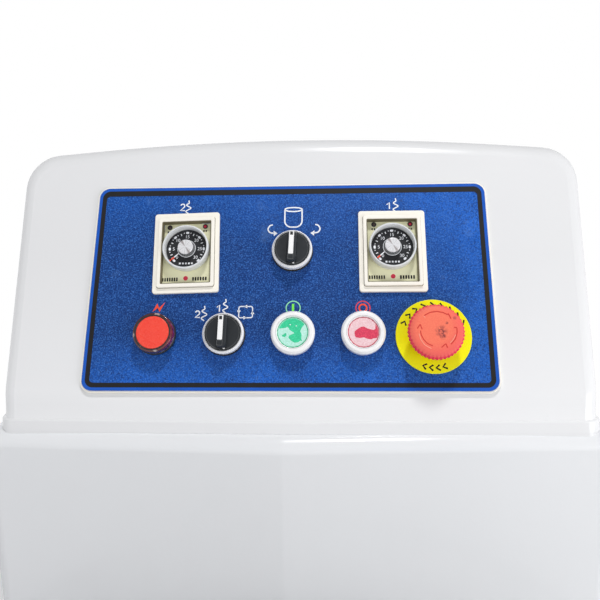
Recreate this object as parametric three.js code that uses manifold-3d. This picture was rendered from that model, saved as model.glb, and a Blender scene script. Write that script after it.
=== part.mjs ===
// A floor-standing spiral dough mixer: a white painted body with a base, a column and an overhanging head,
// a moulded hood that carries the control panel, a turning steel bowl, a spiral hook and a wire guard.
// Millimetres. +X is the operator's right, +Y is towards the back, +Z is up. The origin is on the floor,
// under the middle of the machine.
import * as THREE from "three";
import { mergeVertices } from "three/addons/utils/BufferGeometryUtils.js";
import Module from "manifold-3d";

const wasm = await Module();
wasm.setup();

// ---------------------------------------------------------------- driving dimensions

const GAP = 0.3; // clearance between pieces that touch
const SHEET = 3; // wall of the painted shells
const HALF_WIDTH = 250; // base, column and head
const REAR = 425; // back face of the body
const REACH = 462; // the guard's handle in front and the cable gland behind
const COLUMN_FRONT = 135;

const PLATE = { z0: 50, z1: 60 }; // base plate
const BASE_TOP = 230;
const HEAD = { z0: 690, z1: 860, front: -220, corner: 26, rounding: 12, ledge: 27 };
const PROW = { x: -9, slope: Math.tan(THREE.MathUtils.degToRad(3)) }; // shallow fold down the head's front

const HOOD = {
  halfWidth: 233, // at the foot
  flare: 6.5, // how far each side leans outwards on its way up to the shoulder
  front: HEAD.front + 13,
  band: 9.2, // upright rim under the sloping face
  height: 227,
  crown: 12,
  corner: 30,
  wall: 3,
  lean: THREE.MathUtils.degToRad(26), // the face leans back from upright
  rear: REAR - 13,
  fall: 0.24, // share of its height that the roof loses towards the back
  fallStart: 0,
};

const BOWL = { x: 0, y: -150, radius: 256, rim: 6, wall: 3, z0: 250, z1: 600, corner: 40 };
const SPIRAL = { x: -105, y: -95, sweep: 92, bar: 15, shaft: 24, z0: 282, z1: 612, turns: 1.3 };
const BREAKER = { x: 12, y: -158, radius: 14, z0: 285 };
const JACK = { x: 40, y: 95, shaft: 15 };
const MOTOR = { x: 0, y: 300, radius: 88, shaft: 14, z0: 400 };
const LOW_BELT = { z0: 730, z1: 760 }; // jackshaft to spiral
const HIGH_BELT = { z0: 775, z1: 805 }; // motor to jackshaft
const BOWL_BELT = { z0: 155, z1: 180 };
const PULLEY = { spiral: 105, jackSmall: 45, jackLarge: 100, motor: 35, bowl: 180, bowlMotor: 36 };
const BELT_THICKNESS = 8;
const BELT_GAP = 3; // a faceted belt stays clear of a faceted pulley
const HEAD_FRAME = { z0: 700, z1: 712 };
const GUARD = { y: -230, z: 680, radius: 264, bottom: 612, frame: 4, rod: 2.5, pitch: 36, rods: 13 };
const GRIP = 6; // radius of the guard's handle

const PANEL = { x: -5, up: 110, width: 328.5, height: 176.2, corner: 10, border: 1.6 };
const LAYER = { plate0: 0.3, plate1: 2.0, film0: 2.3, film1: 2.8, device: 3.1 };
const ROW = { y: -42.2, x0: -105.4, pitch: 54.9 }; // the lower row of five devices
const ESTOP_Y = -43.9; // the last device of that row sits a little lower
const TIMER = {
  x: 84.5,
  y: 26.9,
  width: 54.4,
  height: 69.6,
  caseWidth: 40.4,
  caseHeight: 53,
  depth: 66,
  face: 1.5,
  flange: 5.6, // top of the frame's outer flange
  step: 7.6, // top of its raised inner frame
  dial: 3.3, // the dial's centre above the frame's
  scale: { radius: 16.1, top: 4.2 }, // the raised disc with the minutes
};
const SELECTOR = { x: 3.1, y: 27.3 };
const BARREL = 11; // threaded barrel of every round device

// ---------------------------------------------------------------- solids

// A closed three.js geometry as a solid, whichever way its faces wind.
function solid(geometry) {
  const bare = geometry.index ? geometry.toNonIndexed() : geometry.clone();
  const points = new THREE.BufferGeometry().setAttribute("position", bare.getAttribute("position"));
  const merged = mergeVertices(points, 1e-3);
  const build = (flip) => {
    const kept = [];
    const index = merged.index.array;
    for (let i = 0; i < index.length; i += 3) {
      const [a, b, c] = [index[i], index[i + 1], index[i + 2]];
      if (a === b || b === c || a === c) continue;
      kept.push(a, flip ? c : b, flip ? b : c);
    }
    const vertProperties = merged.attributes.position.array;
    return new wasm.Manifold(new wasm.Mesh({ numProp: 3, vertProperties, triVerts: new Uint32Array(kept) }));
  };
  const made = build(false);
  return made.volume() < 0 ? build(true) : made;
}

function geometryOf(made) {
  const { numProp, vertProperties, triVerts, numVert } = made.getMesh();
  const positions = new Float32Array(numVert * 3);
  for (let i = 0; i < numVert; i++) {
    const start = i * numProp;
    positions.set(vertProperties.subarray(start, start + 3), i * 3);
  }
  const geometry = new THREE.BufferGeometry();
  geometry.setAttribute("position", new THREE.BufferAttribute(positions, 3));
  geometry.setIndex(new THREE.BufferAttribute(new Uint32Array(triVerts), 1));
  geometry.computeVertexNormals();
  return geometry;
}

const joined = (...solids) => solids.reduce((a, b) => a.add(b));
const cut = (body, ...cutters) => cutters.reduce((a, b) => a.subtract(b), body);

function block(x0, x1, y0, y1, z0, z1) {
  const geometry = new THREE.BoxGeometry(x1 - x0, y1 - y0, z1 - z0);
  return solid(geometry.translate((x0 + x1) / 2, (y0 + y1) / 2, (z0 + z1) / 2));
}

// A cylinder along Z.
function rod(x, y, radius, z0, z1, sides = 24) {
  const geometry = new THREE.CylinderGeometry(radius, radius, z1 - z0, sides);
  return solid(geometry.rotateX(Math.PI / 2).translate(x, y, (z0 + z1) / 2));
}

// A bar between two points.
function bar(from, to, radius, sides = 8) {
  const axis = new THREE.Vector3().subVectors(to, from);
  const geometry = new THREE.CylinderGeometry(radius, radius, axis.length(), sides);
  const cylinderAxis = new THREE.Vector3(0, 1, 0);
  const turn = new THREE.Quaternion().setFromUnitVectors(cylinderAxis, axis.clone().normalize());
  const middle = new THREE.Vector3().addVectors(from, to).multiplyScalar(0.5);
  return solid(geometry.applyQuaternion(turn).translate(middle.x, middle.y, middle.z));
}

// A turned piece about Z: the profile is a list of [radius, z] that starts and ends on the axis.
function turned(profile, sides = 20, x = 0, y = 0) {
  const points = profile.map(([r, z]) => new THREE.Vector2(r, z));
  return solid(new THREE.LatheGeometry(points, sides).rotateX(Math.PI / 2).translate(x, y, 0));
}

// A turned ring: its profile closes on itself away from the axis.
function ring(profile, sides = 20, x = 0, y = 0) {
  return turned([...profile, profile[0]], sides, x, y);
}

// A flat shape pushed up along Z.
function prism(shape, z0, z1, curveSegments = 8) {
  const options = { depth: z1 - z0, bevelEnabled: false, curveSegments };
  return solid(new THREE.ExtrudeGeometry(shape, options).translate(0, 0, z0));
}

// A shape drawn in Y and Z, pushed along X.
function prismAlongX(shape, x0, x1, curveSegments = 8) {
  const geometry = new THREE.ExtrudeGeometry(shape, { depth: x1 - x0, bevelEnabled: false, curveSegments });
  const turn = new THREE.Matrix4().makeBasis(
    new THREE.Vector3(0, 1, 0),
    new THREE.Vector3(0, 0, 1),
    new THREE.Vector3(1, 0, 0),
  );
  return solid(geometry.applyMatrix4(turn).translate(x0, 0, 0));
}

function roundedRectangle(width, height, radius, x = 0, y = 0) {
  const [w, h] = [width / 2, height / 2];
  const shape = new THREE.Shape();
  shape.absarc(x + w - radius, y - h + radius, radius, -Math.PI / 2, 0);
  shape.absarc(x + w - radius, y + h - radius, radius, 0, Math.PI / 2);
  shape.absarc(x - w + radius, y + h - radius, radius, Math.PI / 2, Math.PI);
  shape.absarc(x - w + radius, y - h + radius, radius, Math.PI, 1.5 * Math.PI);
  return shape;
}

function tube(points, radius, sides, steps) {
  const section = new THREE.Shape();
  for (let i = 0; i < sides; i++) {
    const angle = (2 * Math.PI * i) / sides;
    const [x, y] = [radius * Math.cos(angle), radius * Math.sin(angle)];
    if (i) section.lineTo(x, y);
    else section.moveTo(x, y);
  }
  const extrudePath = new THREE.CatmullRomCurve3(points);
  return solid(new THREE.ExtrudeGeometry(section, { steps, bevelEnabled: false, extrudePath }));
}

const V = (x, y, z) => new THREE.Vector3(x, y, z);

// ---------------------------------------------------------------- materials

function paint(color, roughness, metalness = 0, opacity = 1) {
  return new THREE.MeshStandardMaterial({ color, roughness, metalness, opacity, transparent: opacity < 1 });
}

const MATERIAL = {
  whitePaint: paint(0xe9eaec, 0.25),
  hoodPlastic: paint(0xedeef0, 0.18),
  stainless: paint(0xc4c7ca, 0.32, 1),
  castIron: paint(0x4a4d50, 0.6, 0.6),
  darkSteel: paint(0x6b6e72, 0.5, 0.8),
  rubber: paint(0x1c1c1d, 0.85),
  motorGrey: paint(0x6f7f8c, 0.5, 0.3),
  creamPlastic: paint(0xf2eee2, 0.4),
  blueFilm: paint(0x173f9c, 0.35),
  timerFace: paint(0xa3aa83, 0.55),
  clearPlastic: paint(0xe8eef0, 0.1, 0, 0.4),
  aluminium: paint(0xd9dadb, 0.25, 1),
  whitePlastic: paint(0xf3f3f2, 0.3),
  blackPlastic: paint(0x1b1d1f, 0.45),
  redLens: paint(0xf0392b, 0.3),
  greenPlastic: paint(0x3cc58b, 0.35),
  pinkPlastic: paint(0xe79aa8, 0.35),
  mushroomRed: paint(0xf0584c, 0.5),
  yellowFilm: paint(0xf7ea12, 0.45),
  galvanised: paint(0xaeb3b5, 0.45, 0.8),
};

const machine = new THREE.Group();

function add(name, made, material, parent = machine) {
  const mesh = new THREE.Mesh(geometryOf(made), material);
  mesh.name = name;
  parent.add(mesh);
  return mesh;
}

// ---------------------------------------------------------------- base

// The base in plan: straight sides, and a round nose that follows the bowl.
function baseOutline(inset) {
  const half = HALF_WIDTH - inset;
  const shape = new THREE.Shape();
  shape.moveTo(half, REAR - inset);
  shape.lineTo(-half, REAR - inset);
  shape.lineTo(-half, BOWL.y);
  shape.absarc(BOWL.x, BOWL.y, half, Math.PI, 2 * Math.PI);
  return shape;
}

function addBase() {
  const window = { x: 195, y0: COLUMN_FRONT + 20, y1: REAR - 30 };
  const hubHole = rod(BOWL.x, BOWL.y, 60, BASE_TOP - 20, BASE_TOP + 5, 20);
  const glandRadius = 9;
  const atGland = (made) => made.rotate([-90, 0, 0]).translate([-150, REAR, 120]);
  const shell = cut(
    prism(baseOutline(0), PLATE.z1 + GAP, BASE_TOP, 18),
    prism(baseOutline(SHEET), PLATE.z1 - 5, BASE_TOP - SHEET, 18),
    hubHole,
    block(-window.x, window.x, window.y0, window.y1, BASE_TOP - 20, BASE_TOP + 5),
    atGland(rod(0, 0, glandRadius + GAP, -20, 5, 16)),
  );
  add("base_cover", shell, MATERIAL.whitePaint);
  add("base_plate", prism(baseOutline(4), PLATE.z0, PLATE.z1, 16), MATERIAL.darkSteel);

  const length = REACH - REAR;
  const barrel = [[0, -8], [glandRadius, -8], [glandRadius, GAP]];
  const nutAndTail = [[15, GAP], [15, 6], [11, 8], [8, length], [5, length], [5, 2], [0, 2]];
  add("cable_gland", atGland(turned([...barrel, ...nutAndTail], 16)), MATERIAL.blackPlastic);

  const top = PLATE.z0 - GAP;
  const foot = [[0, 0], [30, 0], [32, 4], [32, 12], [11, 18], [11, top], [0, top]];
  for (const [place, x, y] of [
    ["front_left", -175, -250],
    ["front_right", 175, -250],
    ["rear_left", -190, 370],
    ["rear_right", 190, 370],
  ])
    add(`foot_${place}`, turned(foot, 12, x, y), MATERIAL.rubber);
}

// ---------------------------------------------------------------- column

function addColumn() {
  const [z0, z1] = [BASE_TOP + GAP, HEAD.z0 - GAP];
  const middle = (COLUMN_FRONT + REAR) / 2;
  const depth = REAR - COLUMN_FRONT;
  const opening = { x: 205, z0: z0 + 30, z1: z1 - 30 };
  const shell = cut(
    prism(roundedRectangle(2 * HALF_WIDTH, depth, 14, 0, middle), z0, z1, 5),
    prism(roundedRectangle(2 * (HALF_WIDTH - SHEET), depth - 2 * SHEET, 11, 0, middle), z0 - 5, z1 + 5, 5),
    block(-opening.x, opening.x, REAR - 10, REAR + 5, opening.z0, opening.z1),
  );
  add("column_shell", shell, MATERIAL.whitePaint);

  const lap = 14;
  const half = opening.x + lap;
  const plate = block(-half, half, REAR + GAP, REAR + 2.5, opening.z0 - lap, opening.z1 + lap);
  const vent = { near: 20, far: 130, rows: 7, pitch: 18, height: 6, above: 60 };
  const slots = [];
  for (let i = 0; i < vent.rows; i++) {
    const z = opening.z0 + vent.above + vent.pitch * i;
    slots.push(block(-vent.far, -vent.near, REAR - 5, REAR + 10, z, z + vent.height));
    slots.push(block(vent.near, vent.far, REAR - 5, REAR + 10, z, z + vent.height));
  }
  add("rear_cover", cut(plate, ...slots), MATERIAL.whitePaint);
}

// ---------------------------------------------------------------- head

const prowAt = (x) => Math.abs(x - PROW.x) * PROW.slope;

// The head in plan: a shallow prow in front, round front corners, a square back.
function headOutline(inset) {
  const half = HALF_WIDTH - inset;
  const radius = HEAD.corner - inset;
  const frontAt = (x) => HEAD.front + inset + prowAt(x);
  const shape = new THREE.Shape();
  shape.moveTo(half, REAR - inset);
  shape.lineTo(-half, REAR - inset);
  shape.lineTo(-half, frontAt(-half) + radius);
  shape.absarc(-half + radius, frontAt(-half) + radius, radius, Math.PI, 1.5 * Math.PI - 0.05);
  shape.lineTo(PROW.x, frontAt(PROW.x));
  shape.absarc(half - radius, frontAt(half) + radius, radius, 1.5 * Math.PI + 0.05, 2 * Math.PI);
  return shape;
}

function addHead() {
  const r = HEAD.rounding;
  const options = {
    depth: HEAD.z1 - HEAD.z0,
    bevelEnabled: true,
    bevelThickness: r,
    bevelSize: r,
    bevelOffset: -r,
    bevelSegments: 3,
    curveSegments: 6,
  };
  const rounded = solid(new THREE.ExtrudeGeometry(headOutline(0), options).translate(0, 0, HEAD.z0 - r));
  const outer = rounded.intersect(block(-300, 300, -300, 500, HEAD.z0, HEAD.z1 + 1));
  const ledge = HALF_WIDTH - HOOD.halfWidth + HEAD.ledge;
  const shell = cut(
    outer,
    prism(headOutline(SHEET), HEAD.z0 - 5, HEAD.z1 - r, 6),
    prism(headOutline(r), HEAD.z1 - r - 5, HEAD.z1 - SHEET, 4),
    block(-HALF_WIDTH + ledge, HALF_WIDTH - ledge, HEAD.front + 45, REAR - 30, HEAD.z1 - 20, HEAD.z1 + 5),
  );
  add("head_shell", shell, MATERIAL.whitePaint);

  const back = COLUMN_FRONT - 4;
  const pan = cut(
    prism(headOutline(SHEET + 0.5), HEAD.z0 + 0.5, HEAD.z0 + 3, 6).intersect(
      block(-300, 300, -300, back, HEAD.z0 - 5, HEAD.z0 + 10),
    ),
    rod(SPIRAL.x, SPIRAL.y, 80, HEAD.z0 - 5, HEAD.z0 + 10, 32),
    rod(BREAKER.x, BREAKER.y, 27, HEAD.z0 - 5, HEAD.z0 + 10, 20),
  );
  add("head_underpan", pan, MATERIAL.stainless);

  const frame = cut(
    prism(roundedRectangle(330, 590, 20, -35, 110), HEAD_FRAME.z0, HEAD_FRAME.z1, 3),
    rod(SPIRAL.x, SPIRAL.y, SPIRAL.shaft + 2, HEAD_FRAME.z0 - 5, HEAD_FRAME.z1 + 5),
    rod(MOTOR.x, MOTOR.y, 20, HEAD_FRAME.z0 - 5, HEAD_FRAME.z1 + 5),
  );
  add("head_frame", frame, MATERIAL.darkSteel);
}

// ---------------------------------------------------------------- hood

const smoothstep = (a, b, t) => THREE.MathUtils.smoothstep(t, a, b);

// The hood seen from the front, heights above the seam: upright sides, round shoulders, a crowned roof.
function hoodFront(inset, foot) {
  const low = HOOD.halfWidth - inset;
  const w = low + HOOD.flare;
  const r = HOOD.corner - inset;
  const top = HOOD.height - inset;
  const shoulder = top - HOOD.crown;
  const shape = new THREE.Shape();
  shape.moveTo(low, foot);
  shape.lineTo(w, shoulder - r);
  shape.absarc(w - r, shoulder - r, r, 0, Math.PI / 2);
  shape.quadraticCurveTo(0, top + HOOD.crown, -w + r, shoulder);
  shape.absarc(-w + r, shoulder - r, r, Math.PI / 2, Math.PI);
  shape.lineTo(-low, foot);
  return shape;
}

// The hood seen from the side: an upright rim, the sloping face, then open to the roof.
function hoodSide(inset, foot) {
  const front = HOOD.front + inset;
  const high = HOOD.height + 30;
  const faceShift = inset / Math.cos(HOOD.lean) - inset; // the leaning face moves further in Y than the rim
  const shape = new THREE.Shape();
  shape.moveTo(front, foot);
  shape.lineTo(HOOD.rear - inset, foot);
  shape.lineTo(HOOD.rear - inset, high);
  shape.lineTo(front + faceShift + (high - HOOD.band) * Math.tan(HOOD.lean), high);
  shape.lineTo(front, HOOD.band - faceShift / Math.tan(HOOD.lean));
  return shape;
}

function hoodBody(inset, foot) {
  const [y0, y1] = [HOOD.front - 5, HOOD.rear + 5];
  const options = { depth: y1 - y0, steps: 6, bevelEnabled: false, curveSegments: 4 };
  const sweep = new THREE.ExtrudeGeometry(hoodFront(inset, foot), options);
  sweep.rotateX(Math.PI / 2).translate(0, y1, 0);
  const position = sweep.getAttribute("position");
  for (let i = 0; i < position.count; i++) {
    const fall = 1 - HOOD.fall * smoothstep(HOOD.fallStart, HOOD.rear, position.getY(i));
    if (position.getZ(i) > 0) position.setZ(i, position.getZ(i) * fall);
  }
  const reach = HOOD.halfWidth + HOOD.flare + 5;
  const profile = prismAlongX(hoodSide(inset, foot), -reach, reach);
  return solid(sweep).intersect(profile).translate([0, 0, HEAD.z1 + GAP]);
}

// The sloping face's own frame: x to the right, y up the face, z out of it, at the panel's centre.
const face = new THREE.Group();
face.position.set(
  PANEL.x,
  HOOD.front + PANEL.up * Math.sin(HOOD.lean),
  HEAD.z1 + GAP + HOOD.band + PANEL.up * Math.cos(HOOD.lean),
);
face.rotation.x = Math.PI / 2 - HOOD.lean;
face.updateMatrix();

const lowerX = (i) => ROW.x0 + i * ROW.pitch;

// The panel's cut-outs, in the face's frame, with clearance round each device.
function panelHoles(z0, z1) {
  const round = (x, y) => rod(x, y, BARREL + 2 * GAP, z0, z1, 12);
  const { caseWidth, caseHeight } = TIMER;
  const slot = (x) => prism(roundedRectangle(caseWidth + 0.6, caseHeight + 0.6, 1, x, TIMER.y), z0, z1, 2);
  const row = [0, 1, 2, 3].map((i) => round(lowerX(i), ROW.y));
  const others = [round(lowerX(4), ESTOP_Y), round(SELECTOR.x, SELECTOR.y)];
  return joined(...row, ...others, slot(-TIMER.x), slot(TIMER.x));
}

function addHood() {
  const shell = cut(
    hoodBody(0, 0),
    hoodBody(HOOD.wall, -5),
    panelHoles(-20, 20).transform(face.matrix.elements),
  );
  add("top_hood", shell, MATERIAL.hoodPlastic);
}

// ---------------------------------------------------------------- control panel

function addPanelPlates() {
  const { width, height, corner, border } = PANEL;
  const plate = prism(roundedRectangle(width, height, corner), LAYER.plate0, LAYER.plate1, 5);
  add("panel_plate", cut(plate, panelHoles(-5, 10)), MATERIAL.creamPlastic, face);
  const film = prism(
    roundedRectangle(width - 2 * border, height - 2 * border, corner - border),
    LAYER.film0,
    LAYER.film1,
    5,
  );
  add("panel_overlay", cut(film, panelHoles(-5, 10)), MATERIAL.blueFilm, face);
}

const CONTACT = { z0: -48, z1: -12, width: 30, height: 38 };

// A round device's fixed body: bezel in front of the panel, barrel through it, contact block behind it.
function deviceBody(bezel, bore) {
  const { z0, z1, width, height } = CONTACT;
  const barrel = [[0, z1 - 2], [BARREL, z1 - 2], [BARREL, LAYER.device]];
  const top = bezel.at(-1)[1];
  const front = turned([...barrel, ...bezel, [0, top]], 18);
  const contact = block(-width / 2, width / 2, -height / 2, height / 2, z0, z1);
  return cut(joined(front, contact), bore);
}

function place(mesh, x, y) {
  mesh.position.set(x, y, 0);
}

function addPushButton(name, x, color) {
  const bore = turned([[0, -9], [6, -9], [6, 5.5], [12.2, 5.5], [12.2, 20], [0, 20]], 18);
  const bezel = [[15.4, LAYER.device], [16.4, 5], [17.2, 8], [17.2, 9.5], [16, 11.6], [14, 12]];
  place(add(`${name}_switch_body`, deviceBody(bezel, bore), MATERIAL.whitePlastic, face), x, ROW.y);
  const plunger = [[0, -4], [5.7, -4], [5.7, 9.3]];
  const cap = [[11.9, 9.3], [11.9, 10.6], [11.2, 11.2], [0, 11.4]];
  place(add(`${name}_button`, turned([...plunger, ...cap], 18), color, face), x, ROW.y);
}

function addSelector(name, x, y) {
  const bore = turned([[0, -9], [6, -9], [6, 5], [13.6, 5], [13.6, 20], [0, 20]], 18);
  const bezel = [[15.2, LAYER.device], [15.8, 5], [16.2, 7.5], [16.2, 9.6], [15.4, 10.6], [14.4, 10.8]];
  place(add(`${name}_selector_body`, deviceBody(bezel, bore), MATERIAL.whitePlastic, face), x, y);
  const disc = turned([[0, -8], [5.7, -8], [5.7, 5.3], [13.3, 5.3], [13.3, 9.4], [0, 9.4]], 20);
  const grip = prism(roundedRectangle(8.4, 25.6, 2.5), 9, 18, 3);
  place(add(`${name}_selector_knob`, joined(disc, grip), MATERIAL.blackPlastic, face), x, y);
}

function addLamp(x) {
  const bore = turned([[0, -9], [8, -9], [8, 5], [14, 5], [14, 20], [0, 20]], 18);
  const bezel = [[16.4, LAYER.device], [16.4, 6.5], [15.6, 7.5], [14.6, 7.5]];
  place(add("lamp_body", deviceBody(bezel, bore), MATERIAL.blackPlastic, face), x, ROW.y);
  const skirt = [[0, 5.3], [13.7, 5.3], [13.7, 7.8], [15.8, 7.8]];
  const lens = [[15.6, 13], [14.6, 14.4], [13.4, 14.6], [0, 14.6]];
  place(add("lamp_lens", turned([...skirt, ...lens], 20), MATERIAL.redLens, face), x, ROW.y);
}

function addEmergencyStop(x) {
  const legend = cut(rod(0, 0, 30, LAYER.device, 4.6, 32), rod(0, 0, BARREL + GAP, 0, 10, 20));
  place(add("estop_legend_ring", legend, MATERIAL.yellowFilm, face), x, ESTOP_Y);
  const bore = turned([[0, -10], [8.3, -10], [8.3, 20], [0, 20]], 20);
  const bezel = [[BARREL, 4.9], [15, 4.9], [15, 9], [13, 12.5], [10, 12.5]];
  place(add("estop_base", deviceBody(bezel, bore), MATERIAL.blackPlastic, face), x, ESTOP_Y);
  place(add("estop_stem", rod(0, 0, 8, -4, 21, 20), MATERIAL.blackPlastic, face), x, ESTOP_Y);

  const skirt = [[0, 21.3], [8.3, 21.3], [8.3, 17.5], [13, 17.5], [20.4, 19.5], [21.4, 21], [21.4, 23.5]];
  const head = turned([...skirt, [20.4, 25.6], [18.2, 26.6], [0, 27.6]], 24);
  place(add("estop_mushroom", head, MATERIAL.mushroomRed, face), x, ESTOP_Y);
}

function addTimer(side, x) {
  const { width, height, caseWidth, caseHeight, depth, flange, step } = TIMER;
  const opening = prism(roundedRectangle(caseWidth + 0.6, caseHeight + 0.6, 0.8), 0, 20, 2);
  const frame = cut(
    joined(
      prism(roundedRectangle(width, height, 2.2), LAYER.device, flange, 3),
      prism(roundedRectangle(width - 7.6, height - 8.6, 1.6), flange - 0.2, step, 3),
    ),
    opening,
  );
  place(add(`timer_${side}_frame`, frame, MATERIAL.creamPlastic, face), x, TIMER.y);

  const [w, h] = [caseWidth / 2, caseHeight / 2];
  const body = block(-w, w, -h, h, -depth, TIMER.face);
  const scale = rod(0, TIMER.dial, TIMER.scale.radius, 0, TIMER.scale.top, 24);
  const socket = rod(0, TIMER.dial, 3.6, -6, 10, 12);
  const timerCase = cut(joined(body, scale), socket);
  place(add(`timer_${side}_case`, timerCase, MATERIAL.timerFace, face), x, TIMER.y);

  const spindle = [[0, -4], [3, -4], [3, 4.6]];
  const skirt = [[16.5, 4.6], [16.5, 2], [18.3, 2], [18.6, 3]];
  const rim = [[18.6, 8.8], [18.1, 9.3], [17, 9.3], [16.6, 5.8]];
  const boss = [[7.8, 5.8], [7, 8.9], [0, 8.9]];
  const dial = turned([...spindle, ...skirt, ...rim, ...boss], 24);
  place(add(`timer_${side}_dial`, dial, MATERIAL.clearPlastic, face), x, TIMER.y + TIMER.dial);
  const cap = turned([[0, 9.2], [6.7, 9.2], [6.7, 9.9], [6.3, 10.3], [0, 10.3]], 20);
  place(add(`timer_${side}_cap`, cap, MATERIAL.aluminium, face), x, TIMER.y + TIMER.dial);
}

function addControls() {
  addPanelPlates();
  addLamp(lowerX(0));
  addSelector("speed", lowerX(1), ROW.y);
  addSelector("bowl", SELECTOR.x, SELECTOR.y);
  addPushButton("start", lowerX(2), MATERIAL.greenPlastic);
  addPushButton("stop", lowerX(3), MATERIAL.pinkPlastic);
  addEmergencyStop(lowerX(4));
  addTimer("left", -TIMER.x);
  addTimer("right", TIMER.x);
  machine.add(face);
}

function addElectrics() {
  const deck = HEAD.z1 + GAP;
  const plate = cut(
    block(-222, 222, HOOD.front + 16, HOOD.rear - 12, deck, deck + 2.5),
    rod(160, 20, 22, deck - 5, deck + 10, 16),
  );
  add("electrics_deck", plate, MATERIAL.galvanised);
  const floor = deck + 2.5 + GAP;
  const rail = block(-150, 150, 90, 200, floor, floor + 8);
  const contactors = [-125, -75, -25, 25].map((x) => block(x, x + 44, 100, 185, floor + 6, floor + 86));
  const relay = block(85, 130, 110, 175, floor + 6, floor + 55);
  add("contactor_bank", joined(rail, ...contactors, relay), MATERIAL.blackPlastic);
}

// ---------------------------------------------------------------- bowl and its drive

function addBowl() {
  const { x, y, radius, rim, wall, z0, z1, corner } = BOWL;
  const profile = [[0, z0]];
  const arc = (r, c, from, to, steps) => {
    for (let i = 0; i <= steps; i++) {
      const a = from + ((to - from) * i) / steps;
      profile.push([c[0] + r * Math.cos(a), c[1] + r * Math.sin(a)]);
    }
  };
  arc(corner, [radius - corner, z0 + corner], -Math.PI / 2, 0, 3);
  arc(rim, [radius, z1 - rim], -Math.PI / 2, Math.PI / 2, 3);
  profile.push([radius - wall, z1 - wall]);
  arc(corner - wall, [radius - corner, z0 + corner], 0, -Math.PI / 2, 3);
  profile.push([0, z0 + wall]);
  add("bowl", turned(profile, 32, x, y), MATERIAL.stainless);

  const [low, high] = [BOWL_BELT.z0, BOWL_BELT.z1];
  const hub = [[0, 68], [20, 68], [20, low - 3], [60, low - 3], [60, low]];
  const pulleyRim = [[PULLEY.bowl, low], [PULLEY.bowl, high], [60, high], [45, high + 8]];
  const neck = [[45, z0 - GAP], [0, z0 - GAP]];
  add("bowl_turntable", turned([...hub, ...pulleyRim, ...neck], 24, x, y), MATERIAL.castIron);

  const z = PLATE.z1 + GAP;
  const housing = [[20.4, z], [90, z], [90, z + 12], [48, z + 20], [45, low - 6], [20.4, low - 6]];
  add("bowl_bearing_housing", ring(housing, 24, x, y), MATERIAL.castIron);
}

// A belt round two pulleys, seen from above.
function beltShape(a, ra, b, rb) {
  const distance = Math.hypot(b.x - a.x, b.y - a.y);
  const along = Math.atan2(b.y - a.y, b.x - a.x);
  const outline = (target, grow) => {
    const open = Math.acos((ra - rb) / distance);
    target.absarc(a.x, a.y, ra + grow, along + open, along - open + 2 * Math.PI);
    target.absarc(b.x, b.y, rb + grow, along - open, along + open);
  };
  const shape = new THREE.Shape();
  outline(shape, BELT_GAP + BELT_THICKNESS);
  const hole = new THREE.Path();
  outline(hole, BELT_GAP);
  shape.holes.push(hole);
  return shape;
}

function addBelt(name, a, ra, b, rb, { z0, z1 }) {
  add(name, prism(beltShape(a, ra, b, rb), z0 + 2, z1 - 2, 9), MATERIAL.rubber);
}

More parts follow.
